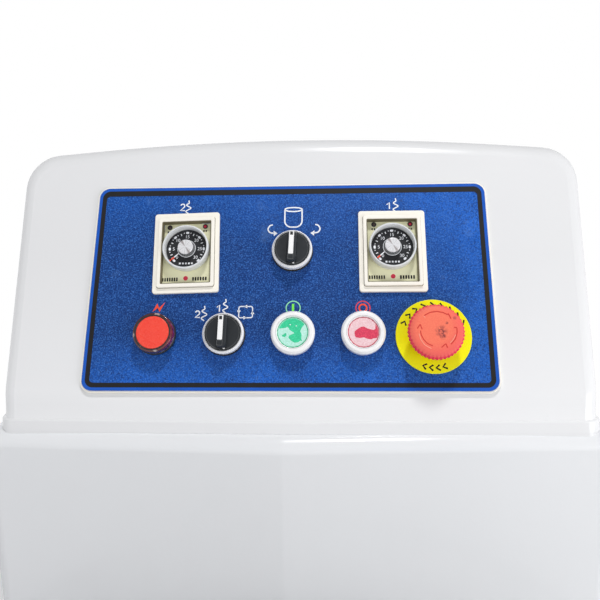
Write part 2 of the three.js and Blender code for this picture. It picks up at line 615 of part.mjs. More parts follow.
function addDrives() {
  const { spiral, jackSmall, jackLarge, motor, bowl, bowlMotor } = PULLEY;
  addBelt("spiral_belt", SPIRAL, spiral, JACK, jackSmall, LOW_BELT);
  addBelt("motor_belt", JACK, jackLarge, MOTOR, motor, HIGH_BELT);
  addBelt("bowl_belt", BOWL, bowl, MOTOR, bowlMotor, BOWL_BELT);

  const wheel = (radius, bore, { z0, z1 }, at, name) => {
    const hub = bore + 16;
    const rim = radius - 12;
    const recess = 8;
    const lower = [[bore, z0], [hub, z0], [hub, z0 + recess], [rim, z0 + recess], [rim, z0], [radius, z0]];
    const upper = [[radius, z1], [rim, z1], [rim, z1 - recess], [hub, z1 - recess], [hub, z1], [bore, z1]];
    add(name, ring([...lower, ...upper], 20, at.x, at.y), MATERIAL.castIron);
  };
  wheel(spiral, SPIRAL.shaft + GAP, LOW_BELT, SPIRAL, "spiral_pulley");
  wheel(jackLarge, JACK.shaft + GAP, HIGH_BELT, JACK, "jackshaft_pulley");

  const s = JACK.shaft;
  const lowerShaft = [[0, 715], [s, 715], [s, LOW_BELT.z0]];
  const smallPulley = [[jackSmall, LOW_BELT.z0], [jackSmall, LOW_BELT.z1], [s, LOW_BELT.z1]];
  const jack = turned([...lowerShaft, ...smallPulley, [s, 812], [0, 812]], 20, JACK.x, JACK.y);
  add("jackshaft", jack, MATERIAL.darkSteel);
  const seat = HEAD_FRAME.z1 + GAP;
  const bearing = [[s + 0.4, seat], [40, seat], [40, seat + 6], [30, seat + 15], [s + 0.4, seat + 15]];
  add("jackshaft_bearing", ring(bearing, 20, JACK.x, JACK.y), MATERIAL.castIron);

  const top = HEAD_FRAME.z0 - GAP;
  const { radius, x, y, z0 } = MOTOR;
  const can = [[0, z0], [radius - 8, z0], [radius - 4, z0 + 40], [radius, z0 + 46], [radius, top - 30]];
  const motorBody = turned([...can, [radius - 20, top - 20], [95, top - 12], [95, top], [0, top]], 24, x, y);
  const terminalBox = block(x + 70, x + 130, y - 45, y + 45, 520, 610);
  add("main_motor", joined(motorBody, terminalBox), MATERIAL.motorGrey);
  const pin = [[0, top + 2], [MOTOR.shaft, top + 2], [MOTOR.shaft, HIGH_BELT.z0]];
  const drum = [[motor, HIGH_BELT.z0], [motor, HIGH_BELT.z1], [0, HIGH_BELT.z1]];
  add("motor_pulley", turned([...pin, ...drum], 24, x, y), MATERIAL.castIron);

  const floor = PLATE.z1 + GAP;
  const gearbox = block(x - 60, x + 60, y - 60, y + 60, floor, 148);
  const sideMotor = bar(V(x + 50, y, 104), V(x + 225, y, 104), 42, 20);
  add("bowl_gearmotor", joined(gearbox, sideMotor), MATERIAL.motorGrey);
  const low = BOWL_BELT;
  const stub = [[0, 149], [14, 149], [14, low.z0]];
  const pulley = [[bowlMotor, low.z0], [bowlMotor, low.z1], [0, low.z1]];
  add("bowl_motor_pulley", turned([...stub, ...pulley], 24, x, y), MATERIAL.castIron);
}

// ---------------------------------------------------------------- spiral hook and breaker bar

// The hook's centreline: out from the shaft, down round the axis, and in again at the bottom.
function hookPoints() {
  const points = [V(SPIRAL.x, SPIRAL.y, SPIRAL.z1 + 30), V(SPIRAL.x, SPIRAL.y, SPIRAL.z1 + 8)];
  const steps = 26;
  for (let i = 0; i <= steps; i++) {
    const t = i / steps;
    const out = smoothstep(0, 0.2, t) - 0.3 * smoothstep(0.8, 1, t);
    const angle = -2 * Math.PI * SPIRAL.turns * t;
    const r = SPIRAL.sweep * (0.1 + 0.9 * out);
    const z = THREE.MathUtils.lerp(SPIRAL.z1 - 8, SPIRAL.z0, t);
    points.push(V(SPIRAL.x + r * Math.cos(angle), SPIRAL.y + r * Math.sin(angle), z));
  }
  return points;
}

function addSpiral() {
  const r = SPIRAL.shaft;
  const z = SPIRAL.z1;
  const collar = [[0, z + 2], [20, z + 2], [27, z + 10], [27, z + 24], [r, z + 28]];
  const shaft = turned([...collar, [r, LOW_BELT.z1 + 6], [0, LOW_BELT.z1 + 6]], 20, SPIRAL.x, SPIRAL.y);
  add("spiral_hook", joined(shaft, tube(hookPoints(), SPIRAL.bar, 8, 40)), MATERIAL.stainless);

  const top = HEAD_FRAME.z0 - GAP;
  const housing = [[r + 0.5, 652], [44, 652], [50, 660], [52, 686], [74, 690], [74, top], [r + 0.5, top]];
  add("spiral_bearing_housing", ring(housing, 20, SPIRAL.x, SPIRAL.y), MATERIAL.stainless);

  const b = BREAKER.radius;
  const stem = [[0, BREAKER.z0], [b - 5, BREAKER.z0], [b, BREAKER.z0 + 6], [b, 658]];
  const flange = [[24, 662], [24, top], [0, top]];
  add("breaker_bar", turned([...stem, ...flange], 20, BREAKER.x, BREAKER.y), MATERIAL.stainless);
}

// ---------------------------------------------------------------- guard

function addGuard() {
  const { y, z, radius, bottom, frame, rod: thin, pitch, rods } = GUARD;
  const back = y - 8; // the hoops end behind the hinge bar
  const arcY = (x) => BOWL.y - Math.sqrt(radius ** 2 - (x - BOWL.x) ** 2);
  const span = Math.sqrt(radius ** 2 - (back - BOWL.y) ** 2);
  const sweep = Math.asin(span / radius);
  const hoop = (height) => {
    const points = [];
    for (let i = 0; i <= 16; i++) {
      const a = -sweep + (2 * sweep * i) / 16;
      points.push(V(BOWL.x + radius * Math.sin(a), BOWL.y - radius * Math.cos(a), height));
    }
    return tube(points, frame, 6, 16);
  };
  const pieces = [hoop(z), hoop(bottom), bar(V(-span, y, z), V(span, y, z), frame)];
  for (const x of [-span, span]) {
    pieces.push(bar(V(x, y + 3, z), V(x, back - 4, z), frame));
    pieces.push(bar(V(x, back, z), V(x, back, bottom), frame));
  }
  for (let i = 0; i < rods; i++) {
    const x = pitch * (i - (rods - 1) / 2);
    pieces.push(bar(V(x, y, z), V(x, arcY(x) - 1, z), thin, 5));
    pieces.push(bar(V(x, arcY(x), z), V(x, arcY(x), bottom), thin, 5));
  }
  const handle = { x: 50, y: GRIP - REACH, arm: 4 };
  for (const x of [-handle.x, handle.x]) {
    pieces.push(bar(V(x, arcY(x) + 1, z), V(x, handle.y, z), handle.arm));
  }
  const end = handle.x + handle.arm;
  pieces.push(bar(V(-end, handle.y, z), V(end, handle.y, z), GRIP));
  add("guard_cage", joined(...pieces), MATERIAL.stainless);

  const underHead = HEAD.z0 - GAP;
  const bracketWidth = 16;
  for (const [side, x] of [["left", -198], ["right", 198]]) {
    const [x0, x1] = [x - bracketWidth / 2, x + bracketWidth / 2];
    const bracket = cut(
      joined(block(x0, x1, y - 9, y + 32, z + 2, underHead), bar(V(x0, y, z), V(x1, y, z), 9, 16)),
      bar(V(x0 - 10, y, z), V(x1 + 10, y, z), frame + 0.5, 16),
    );
    add(`guard_hinge_${side}`, bracket, MATERIAL.stainless);
  }
  add("guard_switch", block(-168, -132, y + 9, y + 33, z - 6, underHead), MATERIAL.blackPlastic);
}

addBase();
addColumn();
addHead();
addHood();
addControls();
addElectrics();
addBowl();
addDrives();
addSpiral();
addGuard();

export default machine;
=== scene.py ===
"""The looks of a floor-standing spiral dough mixer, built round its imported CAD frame.

Outlines are drawn in millimetres. The control panel's pieces are drawn in the panel's own frame:
x to the right, y up the leaning face, z out of it.
"""

from math import asin, cos, pi, radians, sin, sqrt, tan

import bmesh
import bpy
from mathutils import Matrix, Vector
from mathutils.geometry import tessellate_polygon


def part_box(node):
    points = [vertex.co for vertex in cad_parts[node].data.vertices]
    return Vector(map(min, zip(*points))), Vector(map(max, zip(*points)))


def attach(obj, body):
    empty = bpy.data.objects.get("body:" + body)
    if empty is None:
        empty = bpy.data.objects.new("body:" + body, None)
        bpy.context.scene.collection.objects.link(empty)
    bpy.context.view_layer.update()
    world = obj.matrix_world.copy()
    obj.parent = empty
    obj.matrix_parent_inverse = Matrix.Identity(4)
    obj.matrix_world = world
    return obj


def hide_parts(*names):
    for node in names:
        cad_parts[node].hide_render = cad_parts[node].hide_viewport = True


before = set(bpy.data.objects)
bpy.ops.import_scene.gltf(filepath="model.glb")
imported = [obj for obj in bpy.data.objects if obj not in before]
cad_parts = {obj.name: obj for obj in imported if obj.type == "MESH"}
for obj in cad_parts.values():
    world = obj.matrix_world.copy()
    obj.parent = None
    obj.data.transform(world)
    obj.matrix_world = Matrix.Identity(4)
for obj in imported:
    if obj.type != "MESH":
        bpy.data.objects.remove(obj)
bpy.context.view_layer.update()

MM = 0.001

# ---- sizes that the CAD boxes don't say, in mm

LEAN = radians(26)  # the face leans back from upright
RIM = 9.2  # upright rim under the face
FLARE = 6.5  # how far the hood's sides lean outwards on their way up
PANEL_UP = 110  # from the rim's top, up the face, to the panel's centre
PROW_X = -9
PROW = tan(radians(3))  # shallow fold down the head's front

ROW_Y = -42.2  # lower row of devices, from the panel's centre
ESTOP_Y = -43.9
BOWL_SELECTOR_Y = 27.3
TIMER_Y = 26.9
DIAL_Y = 30.2
ASKEW = {"left": (1.5, -1.2, -0.9), "right": (0, 0, -0.5)}  # each timer's turn in degrees, and shift
TIMER_FACE_Z = 1.5
CAP_TOP = 12.4  # start and stop
DEVICE_Z = 3.1  # where the devices stand on the panel
FILM_TOP = 2.8

BOWL_AXIS = (0, -150)
SPIRAL_AXIS = (-105, -95)
BREAKER_AXIS = (12, -158)

KEY_POWER, WINDOW_POWER = 20.3, 4.9  # watts
FLOOR_GLOW = 0.2
AIR = (0.91, 0.08)  # pale light from the horizon and from overhead


def srgb(red, green, blue):
    """A colour as 0 to 255 per channel, in linear light."""
    def channel(value):
        value /= 255
        return value / 12.92 if value <= 0.04045 else ((value + 0.055) / 1.055) ** 2.4
    return channel(red), channel(green), channel(blue)


# ---- outlines and skins


def eased(points, closed=True, steps=5):
    """An outline with rounded corners, from (x, y, radius) points; those without a radius stay sharp."""
    made = []
    for i, (x, y, *rest) in enumerate(points):
        corner, radius = Vector((x, y)), sum(rest)
        if radius == 0 or (not closed and i in (0, len(points) - 1)):
            made.append(corner)
            continue
        before = Vector(points[i - 1][:2]) - corner
        after = Vector(points[(i + 1) % len(points)][:2]) - corner
        half = before.angle(after) / 2
        if half > radians(89.5):
            made.append(corner)
            continue
        reach = min(radius / tan(half), 0.49 * before.length, 0.49 * after.length)
        centre = corner + (before.normalized() + after.normalized()).normalized() * reach / cos(half)
        spoke = corner + before.normalized() * reach - centre
        sweep = spoke.angle_signed(corner + after.normalized() * reach - centre)
        for k in range(steps + 1):
            made.append(centre + Matrix.Rotation(-sweep * k / steps, 2) @ spoke)
    return made


def rectangle(width, height, radius, x=0, y=0, steps=6):
    w, h = width / 2, height / 2
    corners = ((w, -h), (w, h), (-w, h), (-w, -h))
    return eased([(x + right, y + up, radius) for right, up in corners], steps=steps)


def circle(radius, sides, x=0, y=0, wave=0, waves=0):
    made = []
    for i in range(sides):
        angle = 2 * pi * i / sides
        r = radius + wave * cos(waves * angle)
        made.append(Vector((x + r * cos(angle), y + r * sin(angle))))
    return made


def inset(outline, distance):
    """The outline, counter-clockwise, drawn in by a distance."""
    made = []
    for i, point in enumerate(outline):
        before = (point - outline[i - 1]).normalized()
        after = (outline[(i + 1) % len(outline)] - point).normalized()
        along = (before + after).normalized()
        made.append(point + Vector((-along.y, along.x)) * distance / max(0.5, along.dot(after)))
    return made


def skin(levels, wrap=False):
    """A closed shape from equally long (outline, z) rings; wrap joins the last one to the first."""
    count = len(levels[0][0])
    points = [Vector((p.x, p.y, z)) for outline, z in levels for p in outline]
    return points, ring_faces(len(levels), count, wrap)


def ring_faces(rings, count, wrap=False):
    faces = []
    for a in range(rings if wrap else rings - 1):
        b = (a + 1) % rings
        for i in range(count):
            j = (i + 1) % count
            faces.append((a * count + i, a * count + j, b * count + j, b * count + i))
    if not wrap:
        faces.append(tuple(reversed(range(count))))
        faces.append(tuple((rings - 1) * count + i for i in range(count)))
    return faces


def rounding(outline, radius, top, steps, inwards=1):
    """The levels of a quarter round, from the outline up to the top."""
    levels = []
    for k in range(steps + 1):
        angle = pi / 2 * k / steps
        drawn_in = inwards * radius * (1 - cos(angle))
        levels.append((inset(outline, drawn_in), top - radius * (1 - sin(angle))))
    return levels


def plate(outline, z0, z1, edge):
    """A flat piece with eased upper edges."""
    return skin([(outline, z0)] + rounding(outline, edge, z1, 3))


def pierced(outline, holes, z0, z1):
    """A flat piece with holes through it."""
    loops = [outline, *holes]
    flat = [p for loop in loops for p in loop]
    count = len(flat)
    points = [Vector((p.x, p.y, z)) for z in (z0, z1) for p in flat]
    top = tessellate_polygon([[p.to_3d() for p in loop] for loop in loops])
    faces = [tuple(i + count for i in face) for face in top] + [tuple(reversed(face)) for face in top]
    first = 0
    for loop in loops:
        for i in range(len(loop)):
            a, b = first + i, first + (i + 1) % len(loop)
            faces.append((a, b, b + count, a + count))
        first += len(loop)
    return points, faces


def frame_plate(outer, inner, z0, z1, edge):
    """A flat ring between two outlines of equal length, with eased upper edges."""
    up = [(outer, z0)] + rounding(outer, edge, z1, 3)
    down = [(inner, z0)] + rounding(inner, edge, z1, 3, -1)
    return skin(up + down[::-1], wrap=True)


def turned(profile, sides, x=0, y=0, closed=False, steps=4):
    """A turned piece about Z from (radius, z, corner radius) points; closed makes a ring."""
    corners = eased(profile, closed=closed, steps=steps)
    return skin([(circle(max(p.x, 0.02), sides, x, y), p.y) for p in corners], wrap=closed)


def ring(profile, sides):
    """A turned ring about Z."""
    return turned(profile, sides, closed=True)


def tube(path, radius, sides):
    """A round bar along a path; radius is one number, or one for each point."""
    path = [Vector(p) for p in path]
    radii = radius if isinstance(radius, list) else [radius] * len(path)
    ends = zip(path[:1] + path, path[1:] + path[-1:])
    tangents = [(after - before).normalized() for before, after in ends]
    side = tangents[0].orthogonal().normalized()
    points = []
    for centre, along, r in zip(path, tangents, radii):
        side = (side - along * side.dot(along)).normalized()
        other = along.cross(side)
        for k in range(sides):
            angle = 2 * pi * k / sides
            points.append(centre + (side * cos(angle) + other * sin(angle)) * r)
    return points, ring_faces(len(path), sides)


def stroke(path, width, z0, z1, closed=False):
    """A flat printed or engraved line along a path in x and y."""
    path = [Vector(p) for p in path]
    count = len(path)
    rings = []
    for i, point in enumerate(path):
        before = path[i - 1] if closed or i else point
        after = path[(i + 1) % count] if closed or i < count - 1 else point
        along = (after - before).normalized()
        across = Vector((-along.y, along.x)) * width / 2
        rings += [(point + across, z0), (point - across, z0), (point - across, z1), (point + across, z1)]
    points = [Vector((p.x, p.y, z)) for p, z in rings]
    return points, ring_faces(count, 4, closed)


def arc(radius, start, end, x=0, y=0, steps=16):
    """Points on an arc; angles in degrees, counter-clockwise from +x."""
    angles = [radians(start + (end - start) * k / steps) for k in range(steps + 1)]
    return [(x + radius * cos(a), y + radius * sin(a)) for a in angles]


def digits(text, size, x, y, z):
    """Numerals as a flat shape, centred on x and y."""
    curve = bpy.data.curves.new("digits", "FONT")
    curve.body, curve.size, curve.extrude = text, size, 0.04
    curve.align_x, curve.align_y = "CENTER", "CENTER"
    curve.resolution_u = 3
    holder = bpy.data.objects.new("digits", curve)
    bpy.context.collection.objects.link(holder)
    mesh = bpy.data.meshes.new_from_object(holder)
    points = [v.co + Vector((x, y, z)) for v in mesh.vertices]
    faces = [tuple(p.vertices) for p in mesh.polygons]
    bpy.data.objects.remove(holder)
    bpy.data.meshes.remove(mesh)
    bpy.data.curves.remove(curve)
    return points, faces


def moved(shape, matrix):
    points, faces = shape
    return [matrix @ p for p in points], faces


def smooth(t):
    """From 0 to 1 with soft ends."""
    t = min(1, max(0, t))
    return t * t * (3 - 2 * t)


def together(*shapes):
    points, faces = [], []
    for more_points, more_faces in shapes:
        faces += [tuple(i + len(points) for i in face) for face in more_faces]
        points += more_points
    return points, faces


# ---- pieces


def piece(name, shape, surface, body="machine", at=None, slot=None, replaces=(), sharp=35):
    """One object of the visual model, from a shape in millimetres placed by a matrix in metres.

    The slot is worked out, from the surface's name unless another is given, but not used."""
    slot = slot or surface.name.split(".")[0]
    mesh = bpy.data.meshes.new(name)
    points, faces = shape
    mesh.from_pydata([p * MM for p in points], [], faces)
    work = bmesh.new()
    work.from_mesh(mesh)
    bmesh.ops.recalc_face_normals(work, faces=work.faces)
    work.to_mesh(mesh)
    work.free()
    mesh.shade_smooth()
    mesh.set_sharp_from_angle(angle=radians(sharp))
    mesh.materials.append(surface)
    made = bpy.data.objects.new(name, mesh)
    bpy.context.collection.objects.link(made)
    made.matrix_world = at or Matrix.Identity(4)
    made.modifiers.new("flat_faces", "WEIGHTED_NORMAL").keep_sharp = True
    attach(made, body)
    if replaces:
        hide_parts(*replaces)
    return made


def smoothing_nodes():
    """Geometry nodes that shade a CAD node smooth, and keep its edges sharp beyond 32 degrees."""
    tree = bpy.data.node_groups.new("smooth_cad", "GeometryNodeTree")
    tree.interface.new_socket("Geometry", in_out="INPUT", socket_type="NodeSocketGeometry")
    tree.interface.new_socket("Geometry", in_out="OUTPUT", socket_type="NodeSocketGeometry")
    start, end = tree.nodes.new("NodeGroupInput"), tree.nodes.new("NodeGroupOutput")
    faces = tree.nodes.new("GeometryNodeSetShadeSmooth")
    edges = tree.nodes.new("GeometryNodeSetShadeSmooth")
    edges.domain = "EDGE"
    angle = tree.nodes.new("GeometryNodeInputMeshEdgeAngle")
    compare = tree.nodes.new("FunctionNodeCompare")
    compare.operation = "LESS_THAN"
    compare.inputs[1].default_value = radians(32)
    tree.links.new(angle.outputs["Unsigned Angle"], compare.inputs[0])
    tree.links.new(start.outputs[0], faces.inputs["Geometry"])
    tree.links.new(faces.outputs[0], edges.inputs["Geometry"])
    tree.links.new(compare.outputs[0], edges.inputs["Shade Smooth"])
    tree.links.new(edges.outputs[0], end.inputs[0])
    return tree


def finish_node(name, surface, bevel=0.8):
    """A CAD node that stays: eased edges, smooth shading and its own material."""
    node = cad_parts[name]
    if bevel:
        ease = node.modifiers.new("ease", "BEVEL")
        ease.width, ease.segments, ease.angle_limit = bevel * MM, 2, radians(40)
    node.modifiers.new("smooth", "NODES").node_group = SMOOTH_CAD
    node.modifiers.new("flat_faces", "WEIGHTED_NORMAL").keep_sharp = True
    for slot in node.material_slots:
        slot.material = surface


SMOOTH_CAD = smoothing_nodes()


def turn_z(degrees):
    return Matrix.Rotation(radians(degrees), 4, "Z")


def face_frame():
    """The panel's frame in the row's frame, in metres."""
    low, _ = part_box("top_hood")
    plate_low, plate_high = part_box("panel_plate")
    x = (plate_low.x + plate_high.x) / 2
    y = low.y + PANEL_UP * sin(LEAN) * MM
    z = low.z + (RIM + PANEL_UP * cos(LEAN)) * MM
    turn = Matrix(((1, 0, 0), (0, sin(LEAN), -cos(LEAN)), (0, cos(LEAN), sin(LEAN))))
    return Matrix.Translation((x, y, z)) @ turn.to_4x4()


FACE = face_frame()


def on_face(node, y):
    """The frame of a device on the panel: its x from the CAD node's box, its y as given, in mm."""
    low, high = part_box(node)
    x = (low.x + high.x) / 2 - FACE.translation.x
    return FACE @ Matrix.Translation((x, y * MM, 0))


# ---- materials


class Nodes:
    """Shader nodes of a material or of the sky."""

    def __init__(self, tree):
        self.tree = tree

    def node(self, kind, **values):
        """A node with numbers set on its inputs, or other nodes' outputs linked to them."""
        made = self.tree.nodes.new("ShaderNode" + kind)
        for name, value in values.items():
            self.give(made.inputs[name.replace("_", " ")], value)
        return made

    def give(self, socket, value):
        if isinstance(value, bpy.types.NodeSocket):
            self.tree.links.new(value, socket)
        else:
            socket.default_value = value

    def spread(self, value, low, high, to_low=0.0, to_high=1.0):
        made = self.node("MapRange", Value=value)
        for socket, number in zip(list(made.inputs)[1:5], (low, high, to_low, to_high)):
            self.give(socket, number)
        return made.outputs["Result"]


class Surface(Nodes):
    """A procedural material: a Principled shader with layers on its colour, roughness and normal."""

    def __init__(self, name, color, roughness, **sockets):
        self.made = bpy.data.materials.new(name)
        self.made.use_nodes = True
        super().__init__(self.made.node_tree)
        self.shader = self.tree.nodes["Principled BSDF"]
        self.color = (*color, 1)
        self.shader.inputs["Base Color"].default_value = self.color
        self.shader.inputs["Roughness"].default_value = roughness
        for socket, value in sockets.items():
            self.shader.inputs[socket.replace("_", " ")].default_value = value

    def noise(self, per_metre, detail, rough=0.5, stretch=(1, 1, 1), shift=0.0):
        """Noise fixed to the piece, about 0 to 1, with that many features per metre."""
        values = {"Vector": self.place(), "Scale": stretch, "Location": (shift, shift, shift)}
        mapped = self.node("Mapping", **values).outputs[0]
        values = {"Vector": mapped, "Scale": per_metre, "Detail": detail, "Roughness": rough}
        return self.node("TexNoise", **values).outputs["Fac"]

    def place(self):
        return self.node("TexCoord").outputs["Object"]

    def along(self, axis):
        """The place on the piece along one axis, in metres."""
        return self.node("SeparateXYZ", Vector=self.place()).outputs[axis]

    def reckon(self, operation, *values):
        made = self.node("Math")
        made.operation = operation
        for socket, value in zip(made.inputs, values):
            self.give(socket, value)
        return made.outputs[0]

    def tint(self, value, low, high, amount, color):
        """Mixes another colour in where the value goes from low to high, up to an amount."""
        self.layer(self.spread(value, low, high, 0, amount), color)

    def layer(self, amount, color):
        """Mixes another colour in by an amount from 0 to 1."""
        mix = self.node("Mix")
        mix.data_type = "RGBA"
        factor, base, other = mix.inputs[0], mix.inputs[6], mix.inputs[7]
        for socket, value in ((factor, amount), (base, self.color), (other, (*color, 1))):
            self.give(socket, value)
        self.color = mix.outputs[2]
        self.give(self.shader.inputs["Base Color"], self.color)

    def roughen(self, value, low, high):
        self.give(self.shader.inputs["Roughness"], self.spread(value, 0.3, 0.7, low, high))

    def relief(self, height, depth_mm):
        """Fine bumps, as high as the depth in millimetres where the height is 1."""
        bump = self.node("Bump", Strength=1.0, Distance=depth_mm * MM, Height=height)
        self.give(self.shader.inputs["Normal"], bump.outputs[0])


def gloss_white(name, color, peel, painted_shade_above=None):
    """Glossy white: faint orange peel, slight clouding and fine dust, and painted shade that darkens it
    above a height.
    """
    made = Surface(name, color, 0.2, Coat_Weight=0.25, Coat_Roughness=0.08, Specular_IOR_Level=0.45)
    if painted_shade_above:
        # Painted shade: darker above the given height.
        made.tint(made.along("Z"), *painted_shade_above, 1, tuple(c * 0.915 for c in color))
    cloud = made.noise(7, 3)
    made.tint(cloud, 0.35, 0.75, 0.35, tuple(c * 0.95 for c in color))
    dust = made.noise(900, 2, 0.7)
    made.tint(dust, 0.72, 0.8, 0.25, srgb(150, 150, 148))
    made.roughen(made.noise(22, 4), 0.16, 0.27)
    made.relief(made.noise(260, 2), peel)
    return made.made


def steel(name, color, rough, stretch=(1, 1, 1), grain=500, marks=0.04):
    """Brushed or satin metal: fine scratches along one direction and patches of handling."""
    made = Surface(name, color, rough, Metallic=1.0)
    scratch = made.noise(grain, 3, 0.6, stretch)
    made.tint(scratch, 0.35, 0.7, 0.35, tuple(c * 0.8 for c in color))
    made.roughen(made.noise(14, 4, 0.6), rough * 0.75, rough * 1.35)
    made.relief(scratch, marks)
    return made.made


def moulded(name, color, rough, depth=0.02, grain=1500, shade=0.9, **sockets):
    """Moulded plastic: fine spark-eroded grain, slight colour drift and worn gloss."""
    made = Surface(name, color, rough, **sockets)
    made.tint(made.noise(60, 3), 0.35, 0.7, 0.5, tuple(c * shade for c in color))
    made.roughen(made.noise(180, 3), max(0.05, rough - 0.08), rough + 0.1)
    made.relief(made.noise(grain, 2), depth)
    return made.made


def printed_film():
    """The panel's film: mottled ink under a thin gloss, speckle, pale rubbed patches and scratches, and
    painted light towards its edges.
    """
    gloss = {"Specular_IOR_Level": 0.2, "Coat_Weight": 0.22, "Coat_Roughness": 0.1}
    made = Surface("blue_film", srgb(3, 58, 128), 0.45, **gloss)
    # Painted light: the blue is lighter towards the top, the bottom and the right.
    for axis, near, far, amount in (("Y", 30, 84, 0.6), ("Y", -40, -80, 0.8), ("X", 60, 155, 0.8)):
        made.tint(made.along(axis), near * MM, far * MM, amount, srgb(26, 106, 216))
    made.tint(made.noise(13, 3, 0.55), 0.35, 0.7, 0.7, srgb(8, 54, 118))
    made.tint(made.noise(1000, 1, 0.5), 0.46, 0.7, 0.8, srgb(66, 124, 208))
    made.tint(made.noise(900, 1, 0.5, shift=3), 0.48, 0.72, 0.75, srgb(12, 44, 104))
    rubbed = made.noise(30, 5, 0.62, shift=1.7)
    made.tint(rubbed, 0.62, 0.78, 0.3, srgb(110, 150, 205))
    scratch = made.noise(26, 6, 0.75, stretch=(9, 1.2, 1), shift=5.1)
    made.tint(scratch, 0.7, 0.74, 0.3, srgb(170, 190, 225))
    made.roughen(made.noise(45, 3), 0.36, 0.56)
    made.relief(made.noise(1000, 1), 0.012)
    return made.made


def worn_button(name, color, dark):
    """A push button's cap: speckled, a little uneven, and dull where it is pressed."""
    made = Surface(name, color, 0.3, Coat_Weight=0.2)
    made.tint(made.noise(140, 3, 0.6), 0.42, 0.66, 0.45, dark)
    made.tint(made.noise(900, 1), 0.45, 0.65, 0.6, tuple(min(1, c * 1.3 + 0.02) for c in color))
    made.roughen(made.noise(400, 2), 0.24, 0.42)
    made.relief(made.noise(900, 2), 0.02)
    return made.made


def mushroom_red():
    """Coral red, dry and slightly chalky, with dark thumb marks off centre."""
    made = Surface("mushroom_red", srgb(252, 127, 99), 0.55, Specular_IOR_Level=0.3)
    made.tint(made.noise(1100, 2), 0.4, 0.7, 0.4, srgb(242, 96, 84))

    def away(x, y):
        """The distance from a spot on the dome."""
        spot = (-x * MM, -y * MM, -24.5 * MM)
        shifted = made.node("Mapping", Vector=made.place(), Location=spot).outputs[0]
        apart = made.node("VectorMath", Vector=shifted)
        apart.operation = "LENGTH"
        return apart.outputs["Value"]

    # Painted shade: deeper crimson towards the dome's edge, where it turns away from the light.
    made.tint(away(-3, 3), 12 * MM, 22 * MM, 0.55, srgb(238, 76, 92))
    smear = made.spread(made.noise(420, 4, 0.7), 0.38, 0.58)
    for x, y, reach in ((2.4, -0.6, 5.4), (3.5, -4.8, 2.6), (6.7, 6, 1.6), (13, 9.9, 2)):
        near = made.spread(away(x, y), reach * 0.3 * MM, reach * MM, 0.9, 0)
        made.layer(made.reckon("MULTIPLY", near, smear), srgb(96, 36, 54))
    made.relief(made.noise(1500, 2), 0.03)
    return made.made


def spun_metal():
    """A disc turned on a lathe, bright: its fine radial glints and two darker wedges are painted
    reflection.
    """
    made = Surface("spun_metal", srgb(252, 251, 252), 0.3, Metallic=0.35)
    sweep = made.node("TexGradient", Vector=made.place())
    sweep.gradient_type = "RADIAL"
    around = made.node("CombineXYZ", X=sweep.outputs["Fac"]).outputs[0]
    # Painted reflection: fine radial glints.
    painted_glints = made.node("TexNoise", Vector=around, Scale=26.0, Detail=4.0)
    made.tint(painted_glints.outputs["Fac"], 0.4, 0.7, 0.55, srgb(196, 196, 206))
    # Painted reflection: two darker wedges.
    twice_round = made.reckon("MULTIPLY_ADD", sweep.outputs["Fac"], 4 * pi, radians(110))
    made.tint(made.reckon("COSINE", twice_round), 0.86, 1, 0.8, srgb(150, 138, 136))
    made.roughen(painted_glints.outputs["Fac"], 0.2, 0.4)
    return made.made


def lamp_side():
    """The lamp's glossy black ring, brown in front: its magenta on the right and maroon at the bottom are
    painted light, and its pale glints in front are painted highlights.
    """
    made = Surface("lamp_side", srgb(40, 20, 18), 0.14, Coat_Weight=0.8, Coat_Roughness=0.04)
    # Painted light: magenta towards the right and maroon towards the bottom.
    made.tint(made.along("X"), 7 * MM, 15 * MM, 1, srgb(150, 6, 60))
    made.tint(made.along("Y"), -6 * MM, -15 * MM, 0.6, srgb(84, 22, 34))
    made.tint(made.along("Z"), 12.8 * MM, 13.9 * MM, 0.4, srgb(110, 66, 60))
    made.tint(made.noise(240, 3), 0.5, 0.68, 0.6, srgb(26, 14, 16))
    # Painted highlights: pale glints.
    made.tint(made.noise(150, 2, shift=2.6), 0.6, 0.68, 0.75, srgb(190, 176, 172))
    return made.made


def clear_acrylic(name, alpha, rough, shade, gloss):
    """Acrylic, clearer or cloudier: where it is clear it lets the pieces behind it show."""
    made = Surface(name, srgb(246, 248, 250), rough, Alpha=alpha, Specular_IOR_Level=gloss)
    made.tint(made.noise(300, 3), 0.5, 0.8, 0.5, srgb(shade, shade, shade + 3))
    made.roughen(made.noise(90, 3), rough * 0.8, rough * 1.4)
    return made.made


WHITE_PAINT = gloss_white("white_paint", srgb(239, 240, 242), 0.05)
# The hood's top is darker: painted shade.
HOOD_WHITE = gloss_white("hood_white", srgb(241, 241, 242), 0.03, painted_shade_above=(0.885, 0.99))
STAINLESS = steel("stainless", srgb(205, 207, 209), 0.26, (1, 1, 14))
STAINLESS_WIRE = steel("stainless_wire", srgb(214, 215, 217), 0.2)
CAST_IRON = steel("cast_iron", srgb(82, 84, 87), 0.6, grain=240, marks=0.3)
DARK_STEEL = steel("dark_steel", srgb(112, 114, 118), 0.45, (6, 1, 1))
GALVANISED = steel("galvanised", srgb(178, 182, 184), 0.42, grain=60, marks=0.02)
RUBBER = moulded("rubber", srgb(34, 34, 35), 0.8, 0.08, 700, 0.7)
MOTOR_GREY = moulded("motor_grey", srgb(112, 126, 138), 0.45, 0.2, 300, 0.88)
CREAM = moulded("cream_plastic", srgb(254, 249, 238), 0.36, shade=0.97)
BLUE_FILM = printed_film()
BLUE_EDGE_HIGHLIGHT = moulded("blue_edge_highlight", srgb(28, 92, 196), 0.35, shade=0.8, Specular_IOR_Level=0.3)
BLACK_INK = moulded("black_ink", srgb(38, 37, 38), 0.5, 0.01, shade=0.8, Specular_IOR_Level=0.2)
